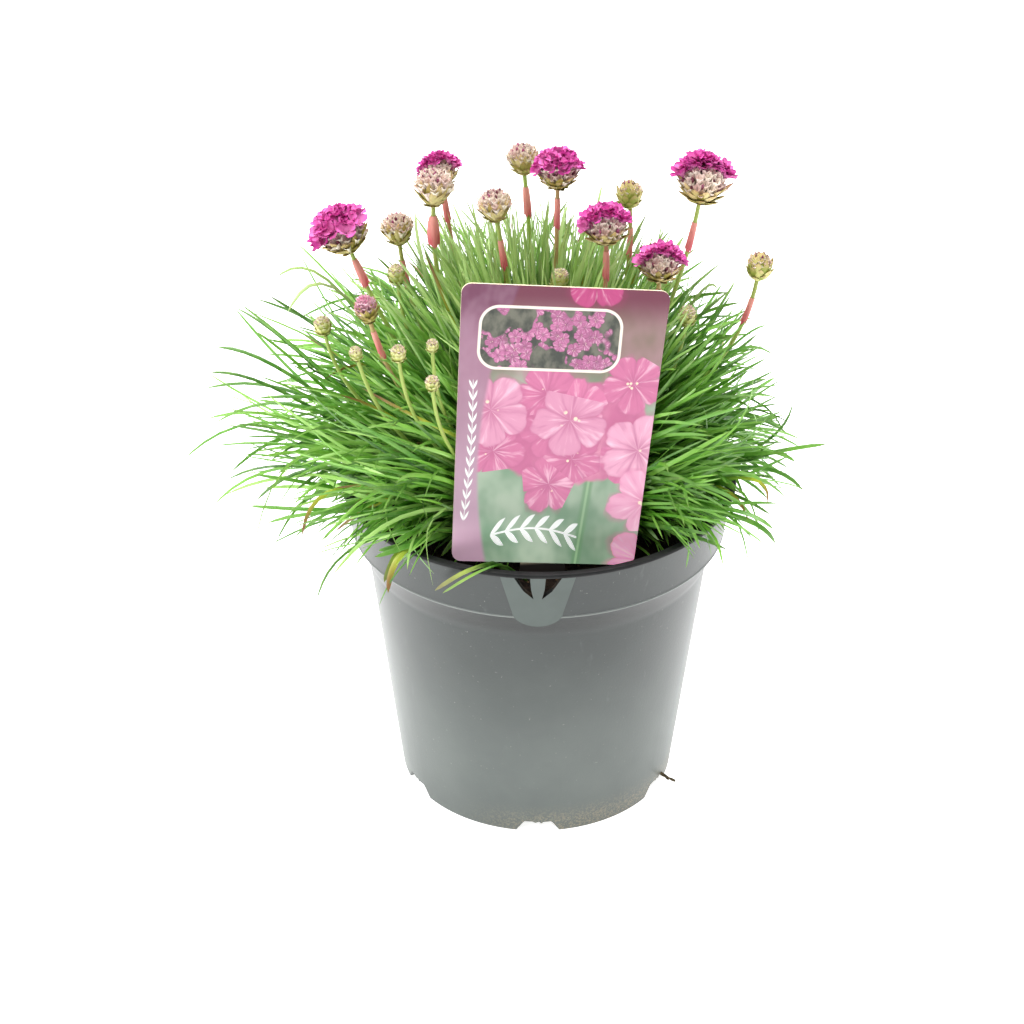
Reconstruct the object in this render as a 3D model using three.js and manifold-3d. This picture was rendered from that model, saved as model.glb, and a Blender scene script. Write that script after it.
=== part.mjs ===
// Potted sea thrift: a grass-like tussock with flower heads on bare stems, a picture label and a pot.
// Millimetres, Z up. The origin is the middle of the pot's underside. The label stands at the -Y side.
import * as THREE from 'three';
import { mergeVertices } from 'three/addons/utils/BufferGeometryUtils.js';
import Module from 'manifold-3d';

const wasm = await Module();
wasm.setup();

// Driving dimensions of the pot
const POT_HEIGHT = 113;
const RIM_RADIUS = 65;
const COLLAR_LOW_RADIUS = 61.7;
const COLLAR_LOW_Z = 95.5;
const SHOULDER_RADIUS = 56.8;
const SHOULDER_Z = 86;
const FOOT_RADIUS = 47.3;
const WALL = 1.4;
const LIP_HEIGHT = 2.4;
const LIP_REACH = 0.9;
const FLOOR_Z = 5;
const FLOOR_THICKNESS = 1.4;
const PAD_RADIUS = 14;
const FOOT_RING_WIDTH = 1.8;
const POT_SIDES = 36;
const SOIL_SIDES = 18;

// Drain notches in the foot
const NOTCH_COUNT = 6;
const NOTCH_LOW_WIDTH = 15;
const NOTCH_TOP_WIDTH = 10;
const NOTCH_HEIGHT = 4.4;
const NOTCH_CUT = 10;

// Raised label holder on the collar
const BADGE_TOP_WIDTH = 23.6;
const BADGE_LOW_WIDTH = 15.2;
const BADGE_SHOULDER_DROP = 12.8;
const BADGE_DROP = 17.6;
const BADGE_PROUD = 1.1;
const SLOT_WIDTH = 4.4;
const SLOT_DROP = 7.4;
const SLOT_INNER_GAP = 4.8;
const SLOT_LOW_GAP = 2.6;
const SLOT_DEPTH = 1.6;

// Soil and the crown that the leaves grow from
const GAP = 0.3;
const SOIL_EDGE_Z = 101;
const SOIL_INNER_Z = 103.5;
const CROWN_RADIUS = 40;
const CROWN_FLOOR_Z = 98;
const CROWN_TOP_Z = 118;

// Picture label
const LABEL_FOOT = new THREE.Vector3(0.9, -48, 107.1);
const LABEL_TURN = [6.0, -6.8, 5.0];
const LABEL_WIDTH = 62.2;
const LABEL_TAPER = 2.5;
const LABEL_HEIGHT = 89.4;
const LABEL_THICKNESS = 0.8;
const LABEL_CORNER = 3;
const STAKE_WIDTH = 14;
const STAKE_LENGTH = 32;
const STAKE_POINT = 9;

// Leaves
const LEAF_COUNT = 198;
const LEAF_SEED = 41000;
const LEAF_TRIES = 60;
const LEAF_WIDTH = 2.2;
const LEAF_THICKNESS = 0.9;
const LEAF_SPANS = 4;
const LEAF_STEPS = 12;
const LEAF_LONGEST_STEP = 13;
const LEAF_SPACING = 2.3;
const GOLDEN_ANGLE = Math.PI * (3 - Math.sqrt(5));
const REACH_RIGHT = 84;
const REACH_LEFT = 85;
const REACH_BACK = 84;
const REACH_FRONT = 68;
const DOME_BASE_Z = 112;
const DOME_HEIGHT = 97;

// Stems, sheaths and heads
const STEM_RADIUS = 0.75;
const STEM_SIDES = 5;
const STEM_SPANS = 6;
const STEM_ROOT_Z = 106;
const STEM_ROOT_SPREAD = 0.36;
const STEM_SOCKET = 1.2;
const SHEATH_LENGTH = 9.5;
const SHEATH_SIDES = 6;
const SHEATH_INNER = 1.4;
const SHEATH_TOP = 2.0;
const SHEATH_LOW = 2.25;
const STEM_CLEARANCE = 2.5;
const HEAD_RADIUS = 9.4;
const HEAD_RISE = 6.5;

// Each head: kind, middle in millimetres, tilt of its stem in X and Y, size, and start of its sheath
// below the stem's top
const HEADS = [
  { name: 'a', kind: 'bloom', at: [-61.0, -5, 200.2], tilt: [-0.36, -0.05], size: 1.08, sheath: 3.6 },
  { name: 'b', kind: 'papery', at: [-32.4, -2, 213.6], tilt: [0.05, 0.0], size: 0.92, sheath: 4.0 },
  { name: 'c', kind: 'bloom', at: [-31.5, 22, 209.6], tilt: [-0.14, 0.1], size: 0.8, sheath: 3.2 },
  { name: 'd', kind: 'papery', at: [-45.0, 16, 192.4], tilt: [-0.1, 0.05], size: 0.82, sheath: 6.0 },
  { name: 'e', kind: 'papery', at: [-14.1, -8, 210.2], tilt: [-0.16, 0.0], size: 0.8, sheath: 7.0 },
  { name: 'f', kind: 'papery', at: [-5.3, 22, 213.6], tilt: [-0.1, 0.08], size: 0.78, sheath: 4.8 },
  { name: 'g', kind: 'bloom', at: [5.2, -2, 219.2], tilt: [0.0, 0.0], size: 0.88, sheath: 4.2 },
  { name: 'h', kind: 'bloom', at: [19.4, -16, 206.8], tilt: [-0.05, -0.05], size: 0.9, sheath: 3.2 },
  { name: 'i', kind: 'bud', at: [28.0, 14, 205.8], tilt: [-0.07, 0.05], size: 0.8, sheath: 7.5 },
  { name: 'j', kind: 'bloom', at: [36.2, -18, 195.4], tilt: [0.02, -0.05], size: 0.86, sheath: 3.6 },
  { name: 'k', kind: 'bloom', at: [49.4, -4, 216.4], tilt: [0.14, 0.0], size: 1.08, sheath: 7.2 },
  { name: 'l', kind: 'bud', at: [69.2, 4, 185.6], tilt: [0.12, 0.0], size: 0.82, sheath: 7.0 },
  { name: 'm', kind: 'papery', at: [-52.2, -32, 186.4], tilt: [-0.22, -0.1], size: 0.64, sheath: 4.0 },
];

// Each small green bud on its stem: middle, tilt and size
const BUDS = [
  { name: 'a', at: [-66.6, -22, 177.2], tilt: [-0.15, -0.1], size: 0.58 },
  { name: 'b', at: [-41.9, -52, 182.4], tilt: [-0.06, -0.14], size: 0.5 },
  { name: 'c', at: [-54.9, -46, 179.4], tilt: [-0.2, -0.12], size: 0.42 },
  { name: 'd', at: [-44.5, -6, 187.1], tilt: [-0.08, 0.0], size: 0.6 },
  { name: 'e', at: [-32.0, -56, 174.6], tilt: [-0.04, -0.2], size: 0.46 },
  { name: 'f', at: [-32.1, -46, 182.0], tilt: [0.0, -0.1], size: 0.4 },
  { name: 'g', at: [45.5, -14, 176.8], tilt: [0.1, 0.0], size: 0.6 },
  { name: 'h', at: [6.0, -12, 188.2], tilt: [0.04, 0.0], size: 0.62 },
];

// Leaves that stand out of the tussock's outline: the tip, and a point that the leaf passes on its way
const LONG_LEAF_SHARE = 0.62;
const LONG_LEAF_TRIES = 15;
const LONG_LEAF_TURN = 0.09;
const LONG_LEAVES = [
  [[-82, -2, 183], [-66, 0, 181]],
  [[-76, -30, 184], [-63, -12, 184]],
  [[-97, 10, 167], [-80, 4, 157]],
  [[-88, -14, 170], [-77, -10, 158]],
  [[-103, 2, 157], [-84, 0, 151]],
  [[-104, -10, 154], [-85, -8, 148]],
  [[-109, 8, 139], [-82, 0, 143]],
  [[-103, -14, 138], [-79, -12, 144]],
  [[-116, -4, 119], [-90, -6, 134]],
  [[-99, -24, 123], [-81, -20, 126]],
  [[-89, -34, 121], [-72, -26, 128]],
  [[-88, -40, 134], [-69, -34, 127]],
  [[-92, -30, 117], [-71, -34, 118]],
  [[-73, -52, 119], [-65, -44, 130]],
  [[-68, -66, 105], [-59, -60, 118]],
  [[-50, -64, 119], [-38, -56, 119]],
  [[-46, -70, 110], [-42, -60, 118]],
  [[-49, -70, 105], [-41, -64, 117]],
  [[-31, -73, 112], [-35, -60, 118]],
  [[93, -6, 126], [74, -12, 126]],
  [[84, -22, 118], [71, -20, 125]],
  [[82, -16, 125], [69, -14, 128]],
  [[72, -46, 118], [61, -40, 121]],
  [[74, -40, 109], [64, -40, 118]],
  [[83, 6, 135], [74, -4, 126]],
  [[77, 10, 142], [65, 0, 139]],
  [[77, 14, 148], [61, 4, 154]],
  [[74, 16, 158], [62, 8, 154]],
  [[62, 10, 176], [56, 4, 168]],
  [[55, -6, 181], [48, -6, 177]],
  [[70, -44, 126], [66, -34, 129]],
  [[20, 26, 202], [17, 14, 192]],
  [[25, -4, 193], [21, -6, 181]],
  [[-39, 20, 197], [-37, 8, 184]],
  [[-30, 26, 190], [-28, 12, 178]],
  [[-15, 24, 187], [-16, 10, 180]],
  [[9, 24, 196], [6, 10, 187]],
];

// Florets, and the number of sides of the heads that carry calyces, bracts or bud scales
const FLORET_COUNT = 8;
const FLORET_RADIUS = 3.5;
const FLORET_DOME = 7.6;
const FLORET_DEPTH = 5.2;
const CUP_SIDES = 18;
const PAPERY_SIDES = 12;
const BUD_SIDES = 8;

const COLOURS = {
  pot: '#4f5654',
  soil: '#2b2019',
  label: '#a4527f',
  leaf: '#4f9a2e',
  stem: '#9bb35a',
  sheath: '#b0526a',
  bract: '#a79a5c',
  papery: '#d3b3a4',
  bud: '#b7bf74',
  petal: '#b5178b',
};

function randomSource(seed) {
  let state = seed >>> 0;
  const draw = () => {
    state = (Math.imul(state, 1664525) + 1013904223) >>> 0;
    return state / 4294967296;
  };
  for (let i = 0; i < 4; i += 1) {
    draw();
  }
  return draw;
}

function toSolid(source) {
  const bare = source.clone();
  bare.deleteAttribute('normal');
  bare.deleteAttribute('uv');
  const merged = mergeVertices(bare, 1e-4);
  const place = merged.attributes.position;
  const corners = [];
  for (let i = 0; i < merged.index.count; i += 3) {
    const [a, b, c] = [0, 1, 2].map((k) => merged.index.getX(i + k));
    if (a !== b && b !== c && c !== a) {
      corners.push(a, b, c);
    }
  }
  if (signedVolume(place, corners) < 0) {
    corners.reverse();
  }
  const mesh = new wasm.Mesh({
    numProp: 3,
    vertProperties: new Float32Array(place.array),
    triVerts: new Uint32Array(corners),
  });
  mesh.merge();
  return new wasm.Manifold(mesh);
}

function signedVolume(place, corners) {
  const a = new THREE.Vector3();
  const b = new THREE.Vector3();
  const c = new THREE.Vector3();
  let sum = 0;
  for (let i = 0; i < corners.length; i += 3) {
    a.fromBufferAttribute(place, corners[i]);
    b.fromBufferAttribute(place, corners[i + 1]);
    c.fromBufferAttribute(place, corners[i + 2]);
    sum += a.dot(b.cross(c));
  }
  return sum;
}

function toMesh(solid, name, colour, roughness) {
  const data = solid.getMesh();
  const geometry = new THREE.BufferGeometry();
  geometry.setAttribute('position', new THREE.BufferAttribute(new Float32Array(data.vertProperties), 3));
  geometry.setIndex(new THREE.BufferAttribute(new Uint32Array(data.triVerts), 1));
  geometry.computeVertexNormals();
  const material = new THREE.MeshStandardMaterial({ color: colour, roughness, metalness: 0 });
  material.name = name;
  const mesh = new THREE.Mesh(geometry, material);
  mesh.name = name;
  return mesh;
}

function joined(solids) {
  return solids.reduce((sum, next) => sum.add(next));
}

// A solid of revolution about Z from a list of [radius, height]
function turned(profile, sides) {
  const points = profile.map(([r, z]) => new THREE.Vector2(r, z));
  return toSolid(new THREE.LatheGeometry(points, sides).rotateX(Math.PI / 2));
}

const UP = new THREE.Vector3(0, 0, 1);
const BACK = new THREE.Vector3(0, 1, 0);

// Turns a vector's frame so that local Z follows the direction and local X lies square to a second one
function frameAlong(direction, level = UP) {
  const z = direction.clone().normalize();
  const side = level.clone().cross(z);
  if (side.length() < 1e-3) {
    side.set(1, 0, 0);
  }
  const x = side.normalize();
  const y = z.clone().cross(x);
  return { x, y, z };
}

// Maps a shape built along Y from 0 to 1 onto a curve; width gives the scale of its section.
// Its frame is square to the level vector, so a stem that is nearly upright takes BACK and isn't twisted
function bentAlong(shape, curve, width, level = UP) {
  const bent = shape.clone();
  const place = bent.attributes.position;
  const point = new THREE.Vector3();
  for (let i = 0; i < place.count; i += 1) {
    point.fromBufferAttribute(place, i);
    const t = THREE.MathUtils.clamp(point.y, 0, 1);
    const middle = curve.getPoint(t);
    const axes = frameAlong(curve.getTangent(t), level);
    const [wide, thick] = width(t);
    middle.addScaledVector(axes.x, point.x * wide);
    middle.addScaledVector(axes.y, point.z * thick);
    place.setXYZ(i, middle.x, middle.y, middle.z);
  }
  return bent;
}

function unitRod(sides, spans) {
  return new THREE.CylinderGeometry(1, 1, 1, sides, spans).translate(0, 0.5, 0);
}

// Pot
function outerProfile() {
  return [
    [0, 0],
    [FOOT_RADIUS, 0],
    [SHOULDER_RADIUS, SHOULDER_Z],
    [COLLAR_LOW_RADIUS, COLLAR_LOW_Z],
    [RIM_RADIUS - LIP_REACH, POT_HEIGHT - LIP_HEIGHT],
    [RIM_RADIUS, POT_HEIGHT - LIP_HEIGHT + 0.3],
    [RIM_RADIUS, POT_HEIGHT - 0.5],
    [RIM_RADIUS - 0.5, POT_HEIGHT],
    [0, POT_HEIGHT],
  ];
}

function insideRadius(z) {
  const steps = [
    [FOOT_RADIUS - WALL + 0.2, FLOOR_Z + FLOOR_THICKNESS],
    [SHOULDER_RADIUS - WALL, SHOULDER_Z],
    [COLLAR_LOW_RADIUS - WALL, COLLAR_LOW_Z + 0.3],
    [RIM_RADIUS - LIP_REACH - WALL, POT_HEIGHT],
  ];
  let i = 1;
  while (i < steps.length - 1 && z > steps[i][1]) {
    i += 1;
  }
  const [r0, z0] = steps[i - 1];
  const [r1, z1] = steps[i];
  return r0 + ((r1 - r0) * (z - z0)) / (z1 - z0);
}

function hollowProfile() {
  const above = POT_HEIGHT + 1;
  return [
    [0, FLOOR_THICKNESS],
    [PAD_RADIUS - FLOOR_THICKNESS, FLOOR_THICKNESS],
    [PAD_RADIUS + 1, FLOOR_Z + FLOOR_THICKNESS],
    [insideRadius(FLOOR_Z + FLOOR_THICKNESS), FLOOR_Z + FLOOR_THICKNESS],
    [insideRadius(SHOULDER_Z), SHOULDER_Z],
    [insideRadius(COLLAR_LOW_Z + 0.3), COLLAR_LOW_Z + 0.3],
    [insideRadius(above), above],
    [0, above],
  ];
}

function undersideProfile() {
  const ringInside = FOOT_RADIUS - FOOT_RING_WIDTH;
  return [
    [PAD_RADIUS, -1],
    [ringInside, -1],
    [ringInside - 0.4, FLOOR_Z],
    [PAD_RADIUS + 2, FLOOR_Z],
    [PAD_RADIUS, -1],
  ];
}

function outlineOf(points) {
  const outline = new THREE.Shape();
  outline.moveTo(points[0][0], points[0][1]);
  points.slice(1).forEach(([x, y]) => outline.lineTo(x, y));
  outline.closePath();
  return outline;
}

function slab(outline, depth) {
  return new THREE.ExtrudeGeometry(outline, { depth, bevelEnabled: false, curveSegments: 4 });
}

function notchSolid(turn) {
  const low = NOTCH_LOW_WIDTH / 2;
  const top = NOTCH_TOP_WIDTH / 2;
  const spread = (low - top) / NOTCH_HEIGHT;
  const below = low + spread;
  const outline = outlineOf([[-below, -1], [below, -1], [top, NOTCH_HEIGHT], [-top, NOTCH_HEIGHT]]);
  const block = slab(outline, NOTCH_CUT);
  block.rotateX(Math.PI / 2);
  block.translate(0, -FOOT_RADIUS + 6, 0);
  block.rotateZ(turn);
  return toSolid(block);
}

// Stands an outline drawn in X and height on the sloping front of the collar
function onCollar(outline, back, front) {
  const slope = Math.atan((RIM_RADIUS - COLLAR_LOW_RADIUS) / (POT_HEIGHT - COLLAR_LOW_Z));
  const block = slab(outline, front - back);
  block.rotateX(Math.PI / 2);
  block.translate(0, -back, 0);
  block.rotateX(slope);
  block.translate(0, -(RIM_RADIUS - LIP_REACH), POT_HEIGHT - LIP_HEIGHT);
  return toSolid(block);
}

function badgeOutline() {
  const top = BADGE_TOP_WIDTH / 2;
  const low = BADGE_LOW_WIDTH / 2;
  const outline = new THREE.Shape();
  outline.moveTo(-top, 1);
  outline.lineTo(-low, -BADGE_SHOULDER_DROP);
  outline.quadraticCurveTo(-low * 0.75, -BADGE_DROP, 0, -BADGE_DROP);
  outline.quadraticCurveTo(low * 0.75, -BADGE_DROP, low, -BADGE_SHOULDER_DROP);
  outline.lineTo(top, 1);
  outline.closePath();
  return outline;
}

function slotOutline(side) {
  const inner = side * SLOT_INNER_GAP * 0.5;
  const low = side * SLOT_LOW_GAP * 0.5;
  return outlineOf([[inner + side * SLOT_WIDTH, -0.6], [inner, -0.6], [low, -SLOT_DROP]]);
}

function potSolid() {
  let pot = turned(outerProfile(), POT_SIDES).add(onCollar(badgeOutline(), -8, BADGE_PROUD));
  pot = pot.subtract(turned(hollowProfile(), POT_SIDES));
  pot = pot.subtract(turned(undersideProfile(), POT_SIDES));
  for (let i = 0; i < NOTCH_COUNT; i += 1) {
    pot = pot.subtract(notchSolid((i * 2 * Math.PI) / NOTCH_COUNT));
  }
  [-1, 1].forEach((side) => {
    pot = pot.subtract(onCollar(slotOutline(side), BADGE_PROUD - SLOT_DEPTH, BADGE_PROUD + 2));
  });
  return pot;
}

// Label
function labelMatrix() {
  const [turn, lean, roll] = LABEL_TURN.map((angle) => THREE.MathUtils.degToRad(angle));
  const matrix = new THREE.Matrix4().makeRotationZ(turn);
  matrix.multiply(new THREE.Matrix4().makeRotationX(lean));
  matrix.multiply(new THREE.Matrix4().makeRotationY(roll));
  return matrix.setPosition(LABEL_FOOT);
}

function plateOutline() {
  const top = LABEL_WIDTH / 2;
  const low = top - LABEL_TAPER;
  const r = LABEL_CORNER;
  const outline = new THREE.Shape();
  outline.moveTo(-low + r, 0);
  outline.lineTo(low - r, 0);
  outline.quadraticCurveTo(low, 0, low, r);
  outline.lineTo(top, LABEL_HEIGHT - r);
  outline.quadraticCurveTo(top, LABEL_HEIGHT, top - r, LABEL_HEIGHT);
  outline.lineTo(-top + r, LABEL_HEIGHT);
  outline.quadraticCurveTo(-top, LABEL_HEIGHT, -top, LABEL_HEIGHT - r);
  outline.lineTo(-low, r);
  outline.quadraticCurveTo(-low, 0, -low + r, 0);
  return outline;
}

function stakeOutline(grow) {
  const half = STAKE_WIDTH / 2 + grow;
  const shoulder = STAKE_POINT - STAKE_LENGTH;
  const point = -STAKE_LENGTH - grow * 1.5;
  return outlineOf([[-half, 2], [-half, shoulder], [0, point], [half, shoulder], [half, 2]]);
}

function labelPart(outline, thickness) {
  const block = slab(outline, thickness);
  block.translate(0, 0, -thickness / 2);
  block.rotateX(Math.PI / 2);
  return toSolid(block.applyMatrix4(labelMatrix()));
}

function labelSolid() {
  return labelPart(plateOutline(), LABEL_THICKNESS).add(labelPart(stakeOutline(0), LABEL_THICKNESS));
}

// Soil
function soilSolid() {
  const floor = FLOOR_Z + FLOOR_THICKNESS + GAP;
  const recess = CROWN_RADIUS + GAP;
  const soil = turned([
    [0, floor],
    [insideRadius(floor) - GAP, floor],
    [insideRadius(SHOULDER_Z) - GAP, SHOULDER_Z],
    [insideRadius(COLLAR_LOW_Z) - GAP, COLLAR_LOW_Z],
    [insideRadius(SOIL_EDGE_Z) - GAP, SOIL_EDGE_Z],
    [recess + 3, SOIL_INNER_Z],
    [recess, SOIL_INNER_Z],
    [recess, CROWN_FLOOR_Z - GAP],
    [0, CROWN_FLOOR_Z - GAP],
  ], SOIL_SIDES);
  return soil.subtract(labelPart(stakeOutline(GAP), LABEL_THICKNESS + 2 * GAP));
}

function crownHeight(radius) {
  const share = Math.min(radius / CROWN_RADIUS, 1);
  return SOIL_INNER_Z + (CROWN_TOP_Z - SOIL_INNER_Z) * Math.sqrt(1 - share * share);
}

function crownSolid() {
  const profile = [[0, CROWN_FLOOR_Z], [CROWN_RADIUS, CROWN_FLOOR_Z], [CROWN_RADIUS, SOIL_INNER_Z]];
  [0.96, 0.8, 0.55].forEach((share) => {
    const radius = CROWN_RADIUS * share;
    profile.push([radius, crownHeight(radius)]);
  });
  profile.push([0, CROWN_TOP_Z]);
  return turned(profile, SOIL_SIDES);
}

// Stems
function stemTop(head) {
  const up = new THREE.Vector3(head.tilt[0], head.tilt[1], 1).normalize();
  return { up, top: new THREE.Vector3(...head.at).addScaledVector(up, -HEAD_RISE * head.size) };
}

function stemCurve(head) {
  const { up, top } = stemTop(head);
  const rootX = top.x * STEM_ROOT_SPREAD;
  const rootY = top.y * STEM_ROOT_SPREAD;
  const root = new THREE.Vector3(rootX, rootY, STEM_ROOT_Z);
  const reach = top.distanceTo(root);
  const low = root.clone().lerp(top, 0.35);
  low.z += reach * 0.06;
  const high = top.clone().addScaledVector(up, -reach * 0.4);
  return new THREE.CubicBezierCurve3(root, low, high, top);
}

function stemSolid(head, grow) {
  const rod = unitRod(STEM_SIDES, STEM_SPANS);
  const radius = STEM_RADIUS + grow;
  return toSolid(bentAlong(rod, stemCurve(head), () => [radius, radius], BACK));
}

// The part of a curve that ends a given distance below its top and has a given length
function stretchBelow(curve, start, length) {
  const whole = curve.getLength();
  const points = [];
  for (let i = 0; i <= 4; i += 1) {
    points.push(curve.getPointAt(1 - (start + length * (1 - i / 4)) / whole));
  }
  return new THREE.CatmullRomCurve3(points);
}

function sheathSolid(head) {
  const wall = new THREE.LatheGeometry([
    new THREE.Vector2(SHEATH_INNER, 0),
    new THREE.Vector2(SHEATH_LOW, 0),
    new THREE.Vector2(SHEATH_TOP, 1),
    new THREE.Vector2(SHEATH_INNER, 1),
    new THREE.Vector2(SHEATH_INNER, 0),
  ], SHEATH_SIDES);
  const along = stretchBelow(stemCurve(head), head.sheath, SHEATH_LENGTH);
  return toSolid(bentAlong(wall, along, () => [1, 1], BACK));
}

// Heads, built with the stem's top at their own origin and Z along the stem
function sphereDirection(index, count, fromPolar, toPolar, turn) {
  const share = (index + 0.5) / count;
  const cosine = Math.cos(fromPolar) + (Math.cos(toPolar) - Math.cos(fromPolar)) * share;
  const sine = Math.sqrt(Math.max(0, 1 - cosine * cosine));
  const azimuth = index * GOLDEN_ANGLE + turn;
  return new THREE.Vector3(sine * Math.cos(azimuth), sine * Math.sin(azimuth), cosine);
}

// A solid of revolution whose odd columns follow a second profile, so that its rows stand out as points.
// Each row is [radius, height, radius of the points, height of the points]
function pointed(rows, sides) {
  const plain = new THREE.LatheGeometry(rows.map(([r, z]) => new THREE.Vector2(r, z)), sides);
  const place = plain.attributes.position;
  for (let column = 1; column < sides; column += 2) {
    const azimuth = (column * 2 * Math.PI) / sides;
    rows.forEach(([, , r, z], row) => {
      place.setXYZ(column * rows.length + row, r * Math.sin(azimuth), z, r * Math.cos(azimuth));
    });
  }
  return toSolid(plain.rotateX(Math.PI / 2));
}

function bloomCup() {
  return pointed([
    [0, 0, 0, 0],
    [1.9, 0, 1.9, 0],
    [2.6, 0.9, 6.0, 1.4],
    [3.2, 2.4, 3.2, 2.4],
    [6.8, 5.2, 4.2, 4.6],
    [4.6, 6.0, 4.6, 6.0],
    [0, 6.2, 0, 6.2],
  ], CUP_SIDES);
}

function floretSolid(direction, centre) {
  const star = new THREE.SphereGeometry(1, 10, 2);
  const place = star.attributes.position;
  for (let i = 0; i < place.count; i += 1) {
    const [x, y, z] = [place.getX(i), place.getY(i), place.getZ(i)];
    const around = Math.round((Math.atan2(z, x) / Math.PI) * 5);
    const reach = Math.abs(around) % 2 ? 0.52 : 1;
    if (y > 0.5) {
      place.setXYZ(i, 0, -0.6, 0);
    } else if (y < -0.5) {
      place.setXYZ(i, 0, -FLORET_DEPTH, 0);
    } else {
      place.setXYZ(i, x * reach * FLORET_RADIUS, 0.2, z * reach * FLORET_RADIUS);
    }
  }
  const axes = frameAlong(direction);
  star.applyMatrix4(new THREE.Matrix4().makeBasis(axes.x, axes.z, axes.y.clone().negate()));
  const seat = centre.clone().addScaledVector(direction, FLORET_DOME);
  star.translate(seat.x, seat.y, seat.z);
  return toSolid(star);
}

function corolla(turn) {
  const centre = new THREE.Vector3(0, 0, 6.4);
  const cap = turned([[0, 6.5], [4.0, 6.5], [4.2, 8.2], [0, 11.4]], 7);
  const florets = Array.from({ length: FLORET_COUNT }, (_, i) => {
    const direction = sphereDirection(i, FLORET_COUNT, 0, THREE.MathUtils.degToRad(66), turn);
    return floretSolid(direction, centre);
  });
  return joined([cap, ...florets]);
}

function paperyHead() {
  return pointed([
    [0, 0, 0, 0],
    [1.9, 0, 1.9, 0],
    [2.6, 0.9, 5.4, 2.0],
    [3.6, 2.6, 3.4, 2.8],
    [6.6, 4.8, 4.2, 4.2],
    [4.4, 5.9, 6.8, 7.6],
    [6.2, 9.9, 4.0, 8.2],
    [3.6, 9.8, 5.0, 12.2],
    [2.6, 13.6, 2.4, 10.8],
    [0, 11.8, 0, 11.8],
  ], PAPERY_SIDES);
}

function budHead() {
  return pointed([
    [0, 0, 0, 0],
    [1.7, 0, 1.7, 0],
    [3.0, 1.0, 4.8, 3.6],
    [5.4, 6.6, 4.2, 4.2],
    [4.4, 7.4, 4.9, 9.8],
    [3.2, 12.2, 2.9, 9.4],
    [0, 11.6, 0, 11.6],
  ], BUD_SIDES);
}

function placedOnStem(solid, head, socket) {
  const { up, top } = stemTop(head);
  const axes = frameAlong(up);
  const base = top.clone().addScaledVector(up, -STEM_SOCKET);
  const scale = new THREE.Matrix4().makeScale(head.size, head.size, head.size);
  const matrix = new THREE.Matrix4().makeBasis(axes.x, axes.y, axes.z).setPosition(base).multiply(scale);
  const placed = solid.transform([...matrix.elements]);
  return socket ? placed.subtract(socketPlug(head)) : placed;
}

// The hole in a head, a little wider and deeper than the end of the stem in it
function socketPlug(head) {
  const { up, top } = stemTop(head);
  const start = top.clone().addScaledVector(up, -3 * STEM_SOCKET);
  const end = top.clone().addScaledVector(up, GAP);
  const radius = STEM_RADIUS + 1.4 * GAP;
  const along = new THREE.LineCurve3(start, end);
  return toSolid(bentAlong(unitRod(STEM_SIDES, 1), along, () => [radius, radius], BACK));
}

// Leaves
function reachAt(azimuth) {
  const [c, s] = [Math.cos(azimuth), Math.sin(azimuth)];
  return (c > 0 ? REACH_RIGHT : REACH_LEFT) * c * c + (s > 0 ? REACH_BACK : REACH_FRONT) * s * s;
}

function leafPoints(index, attempt) {
  const draw = randomSource(LEAF_SEED + index * 101 + attempt * 7);
  const azimuth = index * GOLDEN_ANGLE + (draw() - 0.5) * 0.6;
  const rise = 1 - (1.06 * (index + 0.5)) / LEAF_COUNT + (draw() - 0.5) * 0.06;
  const sine = THREE.MathUtils.clamp(rise, -0.06, 1);
  const cosine = Math.sqrt(1 - sine * sine);
  const inner = draw();
  const share = 1.03 - 0.3 * inner * inner;
  const out = reachAt(azimuth) * cosine * share;
  const tipX = out * Math.cos(azimuth);
  const tipY = out * Math.sin(azimuth);
  const tip = new THREE.Vector3(tipX, tipY, DOME_BASE_Z + DOME_HEIGHT * sine * share);
  const rootAngle = azimuth + (draw() - 0.5) * 1.1;
  const rootRadius = (CROWN_RADIUS - 2) * Math.pow(cosine, 0.8) * (0.72 + 0.28 * draw());
  const rootX = rootRadius * Math.cos(rootAngle);
  const rootY = rootRadius * Math.sin(rootAngle);
  const root = new THREE.Vector3(rootX, rootY, crownHeight(rootRadius) - 3);
  const length = tip.distanceTo(root);
  const middle = root.clone().lerp(tip, 0.42);
  middle.z += length * (0.1 + 0.26 * draw());
  const sway = (draw() - 0.5) * 0.24 * length;
  middle.x += -Math.sin(azimuth) * sway;
  middle.y += Math.cos(azimuth) * sway;
  return [root, middle, tip];
}

function segmentGap(a, b, c, d) {
  const u = b.clone().sub(a);
  const v = d.clone().sub(c);
  const w = a.clone().sub(c);
  const [uu, uv, vv, uw, vw] = [u.dot(u), u.dot(v), v.dot(v), u.dot(w), v.dot(w)];
  const spread = uu * vv - uv * uv;
  let s = spread > 1e-9 ? THREE.MathUtils.clamp((uv * vw - vv * uw) / spread, 0, 1) : 0;
  const t = THREE.MathUtils.clamp((uv * s + vw) / vv, 0, 1);
  s = THREE.MathUtils.clamp((uv * t - uw) / uu, 0, 1);
  return w.addScaledVector(u, s).addScaledVector(v, -t).length();
}

function potClear(point) {
  const radius = Math.hypot(point.x, point.y);
  if (point.z > POT_HEIGHT + 1.6) {
    return true;
  }
  if (radius > RIM_RADIUS + 1.8) {
    return true;
  }
  return radius < insideRadius(point.z) - 1.8 && point.z > SOIL_INNER_Z + 1.2;
}

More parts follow.
